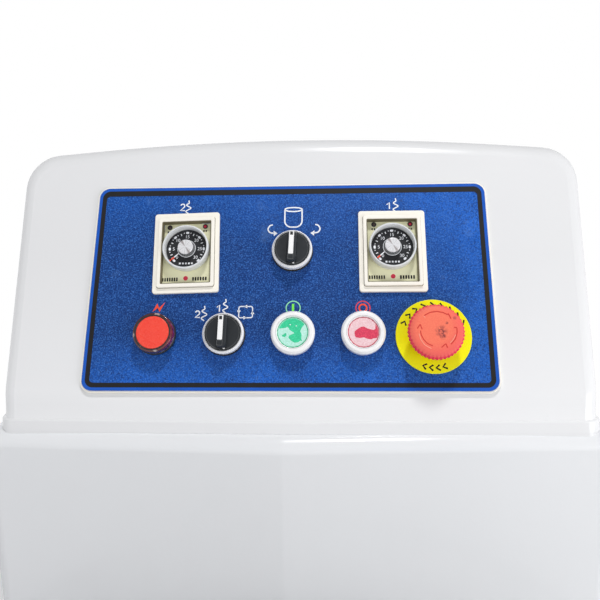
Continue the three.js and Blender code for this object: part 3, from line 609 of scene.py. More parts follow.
WHITE_INK = moulded("white_ink", srgb(244, 246, 250), 0.5, 0.01, shade=0.97)
RED_INK = moulded("red_ink", srgb(255, 80, 42), 0.5, 0.01)
ROSE_INK = moulded("rose_ink", srgb(222, 62, 82), 0.5, 0.01)
GREEN_INK = moulded("green_ink", srgb(130, 248, 80), 0.5, 0.01)
MINT_INK = moulded("mint_ink", srgb(150, 232, 178), 0.5, 0.01)
TIMER_FACE = moulded("timer_face", srgb(250, 248, 208), 0.5, 0.015, shade=0.93)
TIMER_SHADE = moulded("timer_wall", srgb(112, 104, 78), 0.5, 0.015, shade=0.8)
DIAL_BLACK = moulded("dial_black", srgb(42, 43, 46), 0.5, 0.01, Specular_IOR_Level=0.3)
KNOB_HIGHLIGHT = moulded("knob_highlight", srgb(92, 94, 96), 0.4, 0.01)
BEZEL_STEP_SHADE = moulded("bezel_step_shade", srgb(206, 208, 210), 0.4, 0.01)
WHITE_PLASTIC = moulded("white_plastic", srgb(252, 251, 251), 0.24, 0.01, shade=0.98, Coat_Weight=0.3)
BLACK_PLASTIC = moulded("black_plastic", srgb(45, 48, 52), 0.42, 0.03, Specular_IOR_Level=0.35)
LAMP_SIDE = lamp_side()
LAMP_OFF = moulded("lamp_off", srgb(84, 66, 66), 0.3, 0.0)
RED_LENS = worn_button("red_lens", srgb(254, 74, 56), srgb(242, 54, 42))
LED_RED = moulded("led_red", srgb(226, 52, 82), 0.3, 0.0)
MUSHROOM = mushroom_red()
# Painted shade and painted highlight for the engraved arrows on the mushroom.
MUSHROOM_GROOVE_SHADE = moulded("mushroom_engraving", srgb(214, 52, 44), 0.6, 0.02)
MUSHROOM_GROOVE_HIGHLIGHT = moulded("mushroom_groove_highlight", srgb(255, 168, 146), 0.6, 0.02)
MUSHROOM_SIDE_SHADE = moulded("mushroom_side_shade", srgb(250, 56, 86), 0.45, 0.02, shade=0.85)
YELLOW = moulded("yellow_film", srgb(255, 252, 4), 0.4, 0.01, shade=0.97, Specular_IOR_Level=0.3)
SPUN = spun_metal()
# The clear rim is drawn nearly opaque and near white: painted light for the light the clear acrylic
# gathers.
CLEAR_RIM = clear_acrylic("clear_rim", 0.8, 0.2, 232, 0.5)
CLEAR_BOSS = clear_acrylic("clear_boss", 0.12, 0.2, 200, 0.4)
GREEN_CAP = worn_button("green_cap", srgb(54, 206, 152), srgb(40, 190, 134))
MINT_CAP = worn_button("mint_cap", srgb(190, 242, 224), srgb(154, 228, 200))
PINK_CAP = worn_button("pink_cap", srgb(220, 64, 94), srgb(200, 48, 80))
PALE_PINK_CAP = worn_button("pale_pink_cap", srgb(244, 204, 208), srgb(232, 178, 186))


# ---- camera, light and floor


def camera():
    """Stands in front of the panel, a little to its right, and looks down at it by 11 degrees."""
    data = bpy.data.cameras.new("camera")
    data.sensor_width, data.lens = 36, 35.96
    data.clip_start, data.clip_end = 0.01, 50
    made = bpy.data.objects.new("camera", data)
    bpy.context.collection.objects.link(made)
    made.location = FACE.translation + Vector((31.85, -481.33, 78.13)) * MM
    made.rotation_euler = [radians(a) for a in (79.325, 0.818, 2.548)]
    bpy.context.scene.camera = made


def area_light(name, place, target, size, power):
    data = bpy.data.lights.new(name, "AREA")
    data.shape, data.size, data.energy = "DISK", size, power
    made = bpy.data.objects.new(name, data)
    bpy.context.collection.objects.link(made)
    made.location = place
    made.rotation_euler = (Vector(target) - Vector(place)).to_track_quat("-Z", "Y").to_euler()


def studio():
    """A high lamp that throws shadows down the panel, a window light on the right, and pale air."""
    target = FACE.translation
    area_light("ceiling", target + Vector((0.25, -0.36, 1.9)), target, 0.26, KEY_POWER)
    area_light("window", target + Vector((1.05, -0.75, -0.15)), target, 0.8, WINDOW_POWER)
    world = bpy.data.worlds.new("studio")
    world.use_nodes = True
    sky = Nodes(world.node_tree)
    upwards = sky.node("SeparateXYZ", Vector=sky.node("TexCoord").outputs["Generated"]).outputs["Z"]
    light = sky.node("Background", Color=(0.97, 0.98, 1.0, 1), Strength=sky.spread(upwards, 0, 1, *AIR))
    backdrop = sky.node("Background", Color=(1, 1, 1, 1))
    mix = sky.node("MixShader", Fac=sky.node("LightPath").outputs["Is Camera Ray"])
    sky.give(mix.inputs[1], light.outputs[0])
    sky.give(mix.inputs[2], backdrop.outputs[0])
    sky.give(sky.tree.nodes["World Output"].inputs["Surface"], mix.outputs[0])
    bpy.context.scene.world = world
    bpy.context.scene.view_settings.view_transform = "Standard"

    points = [Vector((x, y, 0)) for x, y in ((-2, -2.4), (2, -2.4), (2, 1.9), (-2, 1.9))]
    mesh = bpy.data.meshes.new("floor")
    mesh.from_pydata(points, [], [(0, 1, 2, 3)])
    glow = {"Emission_Color": (1, 1, 1, 1), "Emission_Strength": FLOOR_GLOW}
    floor = Surface("floor", (0.88, 0.88, 0.885), 0.6, **glow)
    floor.tint(floor.noise(1.5, 3), 0.3, 0.7, 0.3, (0.84, 0.84, 0.845))
    mesh.materials.append(floor.made)
    made = bpy.data.objects.new("floor", mesh)
    bpy.context.collection.objects.link(made)


# ---- hood and head


def hood():
    """A white moulding: leaning face, crowned roof that falls to the back, round edges, upright rim."""
    low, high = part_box("top_hood")
    w, top = high.x / MM - FLARE, (high.z - low.z) / MM
    front, rear = low.y / MM, high.y / MM
    crown, corner, sweep = 12, 30, 5
    fall, blend = 0.24, 22

    def roof(x):
        return top - crown * (x / w) ** 2

    def half(z):
        return w + FLARE * z / (top - crown - corner)

    side = [RIM + z for z in (-1.2, 0, 1.2, 6, 11, 16, blend)]
    across = [w * (1 - k / 10) for k in range(2, 19)]
    levels = [(half(z), z, 0) for z in [0] + side] + [(half(roof(w)), roof(w), corner)]
    ridge = [(x, roof(x)) for x in across]
    outline = eased(levels + ridge + [(-x, z, r) for x, z, r in reversed(levels)], steps=8)

    def face_y(x, z):
        slope = max(0, z - RIM) * tan(LEAN)
        near = (z - RIM) / blend
        return front + slope + sweep * abs(x - PROW_X) / w * (1 - smooth(near))

    depth = [0, 0.05, 0.1, 0.18, 0.27, 0.36, 0.45, 0.54, 0.63, 0.72, 0.81, 0.9, 1]
    points = []
    for t in depth:
        for p in outline:
            y = face_y(p.x, p.y) * (1 - t) + rear * t
            points.append(Vector((p.x, y, low.z / MM + p.y * (1 - fall * smooth(y / rear)))))
    count = len(outline)
    faces = ring_faces(len(depth), count)
    faces.remove(tuple(reversed(range(count))))

    columns = [w * (1 - k / 8) for k in range(1, 16)]
    columns[7:8] = [w / 16, PROW_X, -w / 8]
    columns = sorted({c for c in columns if abs(c - PROW_X) > 12 or c == PROW_X}, reverse=True)
    rows = [0] + side
    grid = []
    for k, z in enumerate(rows):
        row = [k]
        for x in columns:
            row.append(len(points))
            points.append(Vector((x, face_y(x, z), low.z / MM + z)))
        grid.append(row + [count - 1 - k])
    for lower, upper in zip(grid, grid[1:]):
        for i in range(len(lower) - 1):
            faces.append((lower[i], upper[i], upper[i + 1], lower[i + 1]))
    faces.append(tuple(grid[-1]) + tuple(range(count - 1 - len(rows), len(rows) - 1, -1)))
    shell = (points, faces)
    made = piece("hood", shell, HOOD_WHITE, replaces=["top_hood"], sharp=60, slot="hood_plastic")

    def foot(out):
        """The hood's footprint, let out at the sides, and less at the front and the rear."""
        forward, back = 0.35 * out, rear + 0.2 * out
        row = [(x, face_y(x, 0) - forward, 0) for x in sorted(columns)]
        corners = [(x * (w + out), face_y(x * w, 0) - forward, 13) for x in (-1, 1)]
        return eased([corners[0]] + row + [corners[1], (w + out, back, 8), (-w - out, back, 8)], steps=8)

    stack = ((3.6, 0), (2.7, RIM - 1.4), (2, RIM - 0.5), (0.8, RIM + 0.1), (-1, RIM + 0.3))
    rim = skin([(foot(out), low.z / MM + z) for out, z in stack])
    piece("hood_rim", rim, HOOD_WHITE, slot="hood_plastic")
    lip = skin([(foot(3.3), low.z / MM - 3.4), (foot(3.3), low.z / MM + 0.2)])
    piece("hood_lip", lip, HOOD_WHITE, slot="hood_plastic")

    rounded = bmesh.new()
    rounded.from_mesh(made.data)
    rounded.verts.ensure_lookup_table()
    weight = rounded.edges.layers.float.new("bevel_weight_edge")
    rear_ring = range((len(depth) - 1) * count, len(depth) * count)
    for edge in rounded.edges:
        a, b = (v.index for v in edge.verts)
        on_bottom = max(v.co.z for v in edge.verts) < low.z + 0.0001
        if not on_bottom and ((a < count and b < count) or (a in rear_ring and b in rear_ring)):
            edge[weight] = 1
    rounded.to_mesh(made.data)
    rounded.free()
    ease = made.modifiers.new("round_edges", "BEVEL")
    ease.limit_method, ease.width, ease.segments = "WEIGHT", 12 * MM, 6
    made.modifiers.move(1, 0)


def head_outline(front_radius):
    low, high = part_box("head_shell")
    w, front, rear = high.x / MM, low.y / MM, high.y / MM
    ends = [front + abs(x - PROW_X) * PROW for x in (w, -w)]
    return eased([
        (w, ends[0], front_radius),
        (w, rear, 8),
        (-w, rear, 8),
        (-w, ends[1], front_radius),
        (PROW_X, front, 40),
    ], steps=8)


def head():
    """Sheet-metal housing: a shallow prow down the front, round front corners and a rolled top edge."""
    low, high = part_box("head_shell")
    z0, z1 = low.z / MM, high.z / MM
    outline = head_outline(14)
    middle = sum(outline, Vector((0, 0))) / len(outline)
    inner = [middle + Vector(((p.x - middle.x) * 0.86, (p.y - middle.y) * 0.86)) for p in outline]
    edge, sheet = 12.5, 3
    levels = [(inset(outline, 2), z0), (inset(outline, 0.6), z0 + 0.6), (outline, z0 + 2)]
    levels += rounding(outline, edge, z1, 8)
    levels += [(inner, z1), (inner, z1 - sheet), (inset(outline, edge), z1 - sheet)]
    levels += [(inset(outline, sheet), z1 - edge), (inset(outline, sheet), z0)]
    piece("head_housing", skin(levels, wrap=True), WHITE_PAINT, replaces=["head_shell"], sharp=60)


# ---- panel and its printing


def panel():
    """Ivory plate, blue film with a thin bright edge of painted highlight, and a black line that is
    thicker along the top.
    """
    low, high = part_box("panel_overlay")
    width = (high.x - low.x) / MM
    height = 173
    holes = []
    for side in ASKEW:
        x = on_face(f"timer_{side}_frame", 0).translation.x - FACE.translation.x
        holes.append(rectangle(41, 53.6, 1, x / MM, TIMER_Y))
    outline = rectangle(width + 3.2, height + 3.2, 10, steps=10)
    core = inset(outline, 2)
    backing = together(frame_plate(outline, core, 0.3, 2.1, 0.5), pierced(core, holes, 0.3, 2.1))
    piece("panel_plate", backing, CREAM, at=FACE, replaces=["panel_plate"])
    film = rectangle(width, height, 8.6, steps=10)
    piece("panel_film", pierced(film, holes, 2.15, FILM_TOP), BLUE_FILM, at=FACE,
          replaces=["panel_overlay"])
    margin, line, extra = 2.6, 3.7, 1.2
    outside = rectangle(width - 2 * margin, height - 2 * margin, 6.5, steps=10)
    both = 2 * (margin + line)
    inside = rectangle(width - both, height - both - extra, 3, 0, -extra / 2, 10)
    ink = FILM_TOP + 0.07
    # The film's outer margin in a lighter blue: painted highlight where its edge catches the light.
    piece("panel_border_highlight", frame_plate(inset(film, 0.3), outside, FILM_TOP - 0.1, ink - 0.02, 0.02),
          BLUE_EDGE_HIGHLIGHT, at=FACE, slot="blue_film")
    piece("panel_border_line", frame_plate(outside, inside, FILM_TOP - 0.1, ink, 0.03), BLACK_INK,
          at=FACE, slot="blue_film")


def print_line(path, width, closed=False):
    return stroke(path, width, FILM_TOP - 0.1, FILM_TOP + 0.07, closed)


def print_solid(points):
    outline = [Vector(p) for p in points]
    return skin([(outline, FILM_TOP - 0.1), (outline, FILM_TOP + 0.07)])


def numeral(number, x, y, height):
    """A printed 1 or 2 as one line: x and y are its middle."""
    half = height / 2
    if number == 1:
        top = y + half
        return print_line([(x - 1.9, top - 2.1), (x + 0.25, top - 0.2), (x + 0.25, y - half)], 1.0)
    r = 1.7
    bow = arc(r, 165, -38, x, y + half - r, 12)
    return print_line(bow + [(x - r - 0.1, y - half + 0.5), (x + r + 0.3, y - half + 0.5)], 1.0)


def wavy_sign(points):
    """The sign for the spiral tool: one line that swings to both sides."""
    return print_line(eased([(x, y, 0.7) for x, y in points], closed=False), 0.95)


def triangle(x, y, angle, size):
    """A filled triangle that points along an angle in degrees."""
    turn = Matrix.Rotation(radians(angle), 2)
    corners = [Vector(c) * size for c in ((0.6, 0), (-0.5, 0.55), (-0.5, -0.55))]
    return [Vector((x, y)) + turn @ c for c in corners]


def printing():
    """The signs on the film, in white, red and green. Numerals are the only lettering."""
    wave = [(0.3, 5.9), (0.8, 3.4), (-2.1, 1.6), (3.1, -1.1), (-2.4, -4), (0.5, -6.1)]

    def sign(x, y, scale=1.0):
        return wavy_sign([(x + px * scale, y + py * scale) for px, py in wave])

    white = [numeral(2, -90.5, 68, 6.4), sign(-85.8, 68.6), numeral(1, 83.3, 67.4, 6), sign(88.4, 68.1)]
    white += [numeral(2, -73, -25.3, 5.9), sign(-67.9, -24.2, 1.03), numeral(1, -55.6, -20.2, 5.8)]
    white.append(sign(-50.9, -18.2, 0.96))

    cycle = rectangle(11.1, 9.3, 1.5, -34.1, -23.5)
    white.append(print_line(cycle, 0.85, closed=True))
    heads = ((-34.2, -18.85), (-28.55, -23.9), (-34.5, -28.15), (-39.65, -23.5))
    for (x, y), angle in zip(heads, (180, 90, 0, 270)):
        white.append(print_solid(triangle(x, y, angle, 2.7)))

    bowl_x, rim_y, half, bottom, round_off = 3.6, 65, 7.2, 49.2, 5.5
    rim = [(bowl_x + p.x, rim_y + p.y * 0.25) for p in circle(half, 36)]
    white.append(print_line(rim, 1.1, closed=True))
    side = arc(round_off, 180, 270, bowl_x - half + round_off, bottom + round_off, 8)
    side += arc(round_off, 270, 360, bowl_x + half - round_off, bottom + round_off, 8)
    white.append(print_line([(bowl_x - half, rim_y)] + side + [(bowl_x + half, rim_y)], 1.15))
    for mirror, x in ((1, -13.5), (-1, 21.8)):
        bend = [(0, 51.4, 0), (-2.3, 50.8, 2), (-4.5, 47.7, 3), (-2.5, 44.3, 3), (1.2, 43.9, 0)]
        path = eased([(x + mirror * px, py, r) for px, py, r in bend], closed=False)
        white.append(print_line(path, 1.15))
        tip = ((4, 43.8), (0.6, 46.1), (1, 41.4))
        white.append(print_solid([(x + mirror * px, py) for px, py in tip]))
    piece("print_white", together(*white), WHITE_INK, at=FACE, slot="blue_film")

    bolt = [(-110, -23.2), (-105.7, -19.5), (-104.1, -23.2),
            (-99.9, -14.8), (-104.7, -19.8), (-106.3, -15.8)]
    red = [print_solid(bolt[:3] + bolt[4:]), print_solid(bolt[2:5])]
    red.append(print_line(circle(3, 32, 59.8, -20.6), 1.3, closed=True))
    piece("print_red", together(*red), RED_INK, at=FACE, slot="blue_film")
    loop = print_line(circle(5.65, 40, 59.8, -20.6), 0.9, closed=True)
    piece("print_red_ring", loop, ROSE_INK, at=FACE, slot="blue_film")
    loop = print_line(circle(5.65, 40, 4.1, -20.3), 0.9, closed=True)
    piece("print_green_ring", loop, MINT_INK, at=FACE, slot="blue_film")
    piece("print_green", print_line([(4, -16.9), (4, -23.8)], 1.9), GREEN_INK, at=FACE, slot="blue_film")


# ---- timers


def dial_mark(radius, angle, width, height, z):
    """A small rounded block at an angle round the dial, long side along the rim."""
    angle = radians(angle)
    turn = Matrix.Rotation(angle - pi / 2, 2)
    at = Vector((cos(angle), sin(angle))) * radius
    outline = [at + turn @ p for p in rectangle(width, height, 0.45 * min(width, height))]
    return skin([(outline, z), (outline, z + 0.08)])


def timer_face(side, at):
    """The grey-green face: a raised black minute scale, two small lamps, and blocks instead of words."""
    face = TIMER_FACE_Z
    low, high = face - 0.05, face + 0.06

    def part(name, shape, surface, slot):
        piece(f"timer_{side}_{name}", shape, surface, at=at, slot=slot)

    top = face + 2.95
    part("dial_plate", plate(circle(16.9, 96), face, top, 0.25), DIAL_BLACK, "black_plastic")
    scale = []
    start, sweep = 225, 270
    for k in range(25):
        angle = start - sweep * k / 24
        size = {0: (2.7, 1.8), 2: (0.7, 2)}.get(k % 4, (0.7, 0.9))
        scale.append(dial_mark(13.4 if k % 4 == 2 else 14.2, angle, *size, top))
    for k, number in enumerate(("0", "5", "10", "15", "20", "25", "30")):
        angle = radians(start - sweep * k / 6)
        x, y = 10.9 * cos(angle), 10.6 * sin(angle)
        scale.append(digits(number, 3.9, x, y, top + 0.05))
    for k in range(5):
        outline = rectangle(1.5, 1.5, 0.3, 2.5 * (k - 2), -12.6)
        scale.append(skin([(outline, top), (outline, top + 0.08)]))
    part("scale", together(*scale), WHITE_INK, "white_plastic")

    turned_by, right, up = ASKEW[side]
    at = at @ Matrix.Translation((right * MM, up * MM, 0)) @ turn_z(turned_by)
    for name, x, surface in (("lamp_on", -14.2, LAMP_OFF), ("lamp_up", 15.7, LED_RED)):
        outer, inner = (circle(radius, 28, x, 21.4) for radius in (2.1, 1.2))
        collar = frame_plate(outer, inner, face - 0.1, face + 0.5, 0.15)
        part(f"{name}_ring", collar, BLACK_PLASTIC, "black_plastic")
        profile = [(0, face - 0.1), (1.3, face - 0.1), (1.3, face + 0.5, 0.5), (0, face + 0.9)]
        part(name, turned(profile, 20, x, 21.4), surface, "red_lens")
    marks = []
    for x0, y, count, width, height in ((-18.6, -24.3, 7, 1.25, 3.1), (6.5, -24.3, 6, 1.4, 3.1),
                                        (-15.6, 17.4, 2, 1.2, 1.7), (14.6, 17.4, 2, 1.2, 1.7)):
        for k in range(count):
            outline = rectangle(width, height, 0.35, x0 + k * (width + 0.7), y)
            marks.append(skin([(outline, low), (outline, high)]))
    part("marks", together(*marks), BLACK_INK, "black_plastic")
    dot = circle(1.9, 28, 0.3, -23.6)
    part("dot", skin([(dot, low), (dot, high)]), LED_RED, "red_lens")


def timer(side):
    """Stepped ivory frame round a recessed timer with a deep clear dial and a metal disc on its boss."""
    turned_by, _, _ = ASKEW[side]
    at = on_face(f"timer_{side}_frame", TIMER_Y) @ turn_z(turned_by)
    opening = rectangle(41.2, 54.2, 0.8)
    shape = together(
        frame_plate(rectangle(54.4, 69.6, 2.4), opening, DEVICE_Z, 5.6, 0.6),
        frame_plate(rectangle(46.8, 60.4, 1.8), opening, 5.3, 7.6, 0.5),
    )
    piece(f"timer_{side}_bezel", shape, CREAM, at=at, replaces=[f"timer_{side}_frame"])
    # A dark olive liner inside the opening: painted shade on the frame's inner walls.
    wall = frame_plate(rectangle(41.1, 54.1, 0.8), rectangle(39.9, 53, 0.8), 1.5, 6.9, 0.1)
    piece(f"timer_{side}_wall", wall, TIMER_SHADE, at=at, slot="cream_plastic")
    # A thin dark ring in the step's corner: painted shadow below the step.
    step = frame_plate(rectangle(47.5, 61.1, 2), rectangle(46.6, 60.2, 1.8), 5.5, 5.72, 0.05)
    piece(f"timer_{side}_step", step, TIMER_SHADE, at=at, slot="cream_plastic")
    finish_node(f"timer_{side}_case", TIMER_FACE, 0)
    at = on_face(f"timer_{side}_frame", DIAL_Y)
    timer_face(side, at)

    def turning(name, shape, surface, slot="clear_plastic", place=at, **more):
        piece(f"timer_{side}_{name}", shape, surface, f"timer_{side}_pointer", place, slot, **more)

    rim = ring([(17.2, 1.9), (18.6, 1.9, 0.3), (19, 2.8, 0.5), (19, 10, 0.6),
                (18.4, 10.8, 0.4), (17.6, 10.8, 0.3), (17.2, 8, 0.2)], 96)
    turning("clear_rim", rim, CLEAR_RIM, replaces=[f"timer_{side}_dial"])
    base = 5
    boss = turned([(0, base), (7.2, base), (6.6, 8.9, 0.3), (0, 8.9)], 72)
    turning("boss", boss, CLEAR_BOSS)
    foot = ring([(7.2, base), (7.6, base), (7.55, 5.4, 0.1), (7.2, 5.4)], 72)
    turn = at @ turn_z(221.4)
    hand = stroke([(7.2, -1), (12.4, -1)], 0.8, base, 5.4)
    turning("hand", together(hand, foot), WHITE_INK, place=turn)
    end = plate(rectangle(1.2, 1.2, 0.4, 16.6, -1), base, 5.4, 0.1)
    tip = together(stroke([(12.4, -1), (15.4, -1)], 0.95, base, 5.4), end)
    turning("hand_tip", tip, RED_INK, place=turn)
    cap = turned([(0, 8.9), (6.15, 8.9), (6.2, 9.9, 0.3), (5.8, 10.2, 0.3), (0, 10.22)], 72)
    turning("metal_cap", cap, SPUN, "spun_aluminium", replaces=[f"timer_{side}_cap"])


# ---- round devices


def white_bezel(outer, inner, top, recess):
    """A moulded ring on the panel, with a rounded crown and a recess for its button or knob."""
    return ring([
        (outer - 1.6, DEVICE_Z),
        (outer - 0.2, 5.5, 1),
        (outer, top - 2.2, 1.5),
        (outer - 1.6, top, 1.5),
        (inner + 0.5, top - 0.2, 0.5),
        (inner, top - 1.4, 0.4),
        (inner, recess),
        (6, recess),
        (6, DEVICE_Z),
    ], 80)


def selector(name, y, off, strip_x):
    """White ring, black disc with a raised grip, and on it a white strip with a small dark window."""
    at = on_face(f"{name}_selector_body", y)
    body = f"{name}_selector_knob"
    gasket = ring([(13, DEVICE_Z), (16.9, DEVICE_Z), (16.9, 4.3, 0.4), (13, 4.5)], 80)
    piece(f"{name}_selector_gasket", gasket, RUBBER, at=at, slot="black_plastic")
    piece(f"{name}_selector_bezel", white_bezel(16.5, 14.7, 12.2, 5), WHITE_PLASTIC, at=at)
    finish_node(f"{name}_selector_body", WHITE_PLASTIC, 0)
    rounded = [(14.3, 11.6, 0.4), (13.8, 12, 0.3), (13.3, 11.7, 0.2)]
    disc = turned([(0, 5.6), (14.3, 5.6)] + rounded + [(0, 11.6)], 72)
    grip = skin([
        (rectangle(8.2, 25.2, 2.6), 11.5),
        (rectangle(8.0, 25.0, 2.6), 14),
        (rectangle(7.2, 24.6, 2.4), 16.9),
        (rectangle(6.4, 24.0, 2.0), 17.7),
        (rectangle(5.6, 23.2, 1.6), 17.9),
    ])
    turn = at @ turn_z(-off)
    piece(f"{name}_knob", together(disc, grip), BLACK_PLASTIC, body, turn, replaces=[body])
    strip = plate(rectangle(3.9, 19.6, 0.5, strip_x, 3), 17.6, 18.0, 0.12)
    piece(f"{name}_knob_strip", strip, WHITE_PLASTIC, body, turn)
    panes = [rectangle(1.1, 2.9, 0.15, strip_x + x, 10.6) for x in (-0.62, 0.52)]
    panes = [plate(pane, 17.9, 18.05, 0.03) for pane in panes]
    piece(f"{name}_knob_window", together(*panes), DIAL_BLACK, body, turn, slot="black_plastic")
    # The pale rim round the rest and the pale line along the grip's shoulder are painted highlights.
    rest, hollow = (rectangle(size, size - 0.4, 0.4, strip_x, -9.2) for size in (4.6, 3.9))
    shoulder_highlight = stroke([(3.4, -9), (3.4, 11.2)], 0.3, 16.8, 17.3)
    edge = together(frame_plate(rest, hollow, 17.5, 17.97, 0.1), shoulder_highlight)
    piece(f"{name}_knob_rest", edge, KNOB_HIGHLIGHT, body, turn, slot="black_plastic")
    # A pale ring at the disc's edge: painted highlight.
    lip = ring([(12.9, 11.5), (13.2, 11.5), (13.2, 11.8, 0.05), (12.9, 11.8, 0.05)], 72)
    piece(f"{name}_knob_lip_highlight", lip, KNOB_HIGHLIGHT, body, turn, slot="black_plastic")
    glint = plate(rectangle(1.5, 1.2, 0.3, 1.8, -12.5), 11.6, 13.2, 0.2)
    piece(f"{name}_knob_glint", glint, WHITE_PLASTIC, body, turn, slot="black_plastic")


def patch(name, points, surface, slot, body, at):
    """A thin worn patch of colour on a cap."""
    outline = eased([(x, y, 0.6) for x, y in points], steps=4)
    piece(name, skin([(outline, CAP_TOP - 0.06), (outline, CAP_TOP + 0.03)]), surface, body, at, slot)


def push_button(name, surface, rim_surface, slot):
    at = on_face(f"{name}_switch_body", ROW_Y)
    piece(f"{name}_bezel", white_bezel(17.3, 12.2, 13.6, 5.5), WHITE_PLASTIC, at=at)
    finish_node(f"{name}_switch_body", WHITE_PLASTIC, 0)
    cap = turned([(0, 9.4), (11.9, 9.4), (11.9, 11.8, 0.6), (11, 12.3, 0.4), (0, CAP_TOP)], 72)
    body = f"{name}_button"
    piece(f"{name}_cap", cap, surface, body, at, replaces=[body], slot=slot)
    edge = ring([(11.5, 11.4), (11.95, 11.4), (11.95, 12.05, 0.2), (11.5, 12.25, 0.1)], 72)
    piece(f"{name}_cap_rim", edge, rim_surface, body, at, slot=slot)
    # A thin grey ring at the bezel's inner step: painted shade in the step.
    step = ring([(12.9, 13.2), (13.3, 13.2), (13.3, 13.57, 0.1), (12.9, 13.57, 0.1)], 72)
    piece(f"{name}_bezel_step", step, BEZEL_STEP_SHADE, at=at, slot="white_plastic")


def buttons():
    """Start and stop: translucent caps whose colour is worn into patches."""
    push_button("start", MINT_CAP, GREEN_CAP, "green_plastic")
    push_button("stop", PALE_PINK_CAP, PINK_CAP, "pink_plastic")
    at = on_face("start_switch_body", ROW_Y)
    top = [tuple(p) for p in arc(11, 34, 165)]
    top += [(-8.6, 3.2), (-5.3, 3.6), (-3.8, 4.7), (-2.4, 1.9), (-0.1, 0.3), (2, -0.7),
            (-0.1, -1.5), (-2.4, -2.5), (-3.3, -4.1), (-1, -6.8), (1.7, -8.3), (4.7, -7.8),
            (6.1, -6.4), (7.8, -7.4), (6.7, -5.2), (7, -1.5), (5.9, 0.6), (7, 3.6)]
    patch("start_wear", top, GREEN_CAP, "green_plastic", "start_button", at)
    left = [(-5.9, -0.3), (-4.7, -1.3), (-5, -3), (-6.2, -3.8), (-8, -3.3), (-8.3, -2.1), (-6.6, -1.7)]
    patch("start_wear_left", left, GREEN_CAP, "green_plastic", "start_button", at)
    flecks = [rectangle(1, 0.7, 0.3, x, y) for x, y in ((-1.9, 6), (2.9, 5))]
    flecks = together(*(plate(fleck, CAP_TOP - 0.02, CAP_TOP + 0.08, 0.03) for fleck in flecks))
    piece("start_flecks", flecks, WHITE_INK, "start_button", at, "green_plastic")
    at = on_face("stop_switch_body", ROW_Y)
    blotch = [tuple(p) for p in arc(11.2, -25, 34)]
    blotch += [(9.2, 2.5), (7.9, 1.5), (4.8, 2.2), (2.7, 2.9), (0.3, 4.4), (-1.5, 4.1),
               (-4.2, 2.7), (-6.7, 0.6), (-7, -0.9), (-6.5, -3.6), (-5.8, -4.2), (-3, -4.7),
               (0.3, -4.2), (2.4, -5.2), (5.5, -5.9), (7.3, -5)]
    patch("stop_wear", blotch, PINK_CAP, "pink_plastic", "stop_button", at)


def lamp():
    at = on_face("lamp_body", ROW_Y)
    bezel = ring([(14.8, DEVICE_Z), (16.4, 3.6, 0.4), (16.4, 6.2, 0.8), (14.8, 7.6, 0.5), (13.9, 7),
                  (13.9, DEVICE_Z)], 80)
    piece("lamp_bezel", bezel, BLACK_PLASTIC, at=at, replaces=["lamp_body"])
    side = ring([(13.9, 7.2), (15.9, 7.4, 0.3), (15.95, 12.8, 0.8), (15.5, 14, 0.6), (14.3, 14.3, 0.2),
                 (13.9, 14, 0.1)], 96)
    piece("lamp_side", side, LAMP_SIDE, at=at, slot="red_lens")
    collar = ring([(13.1, 12), (14.1, 12), (14.15, 14.4, 0.2), (13.6, 14.5, 0.2), (13.1, 14.1)], 96)
    piece("lamp_collar", collar, BLACK_PLASTIC, at=at)
    lens = turned([(0, 6.8), (13.3, 6.8), (13.3, 13.7, 0.5), (12.6, 14.1, 0.3), (0, 14.3)], 96)
    piece("lamp_glass", lens, RED_LENS, at=at, replaces=["lamp_lens"])


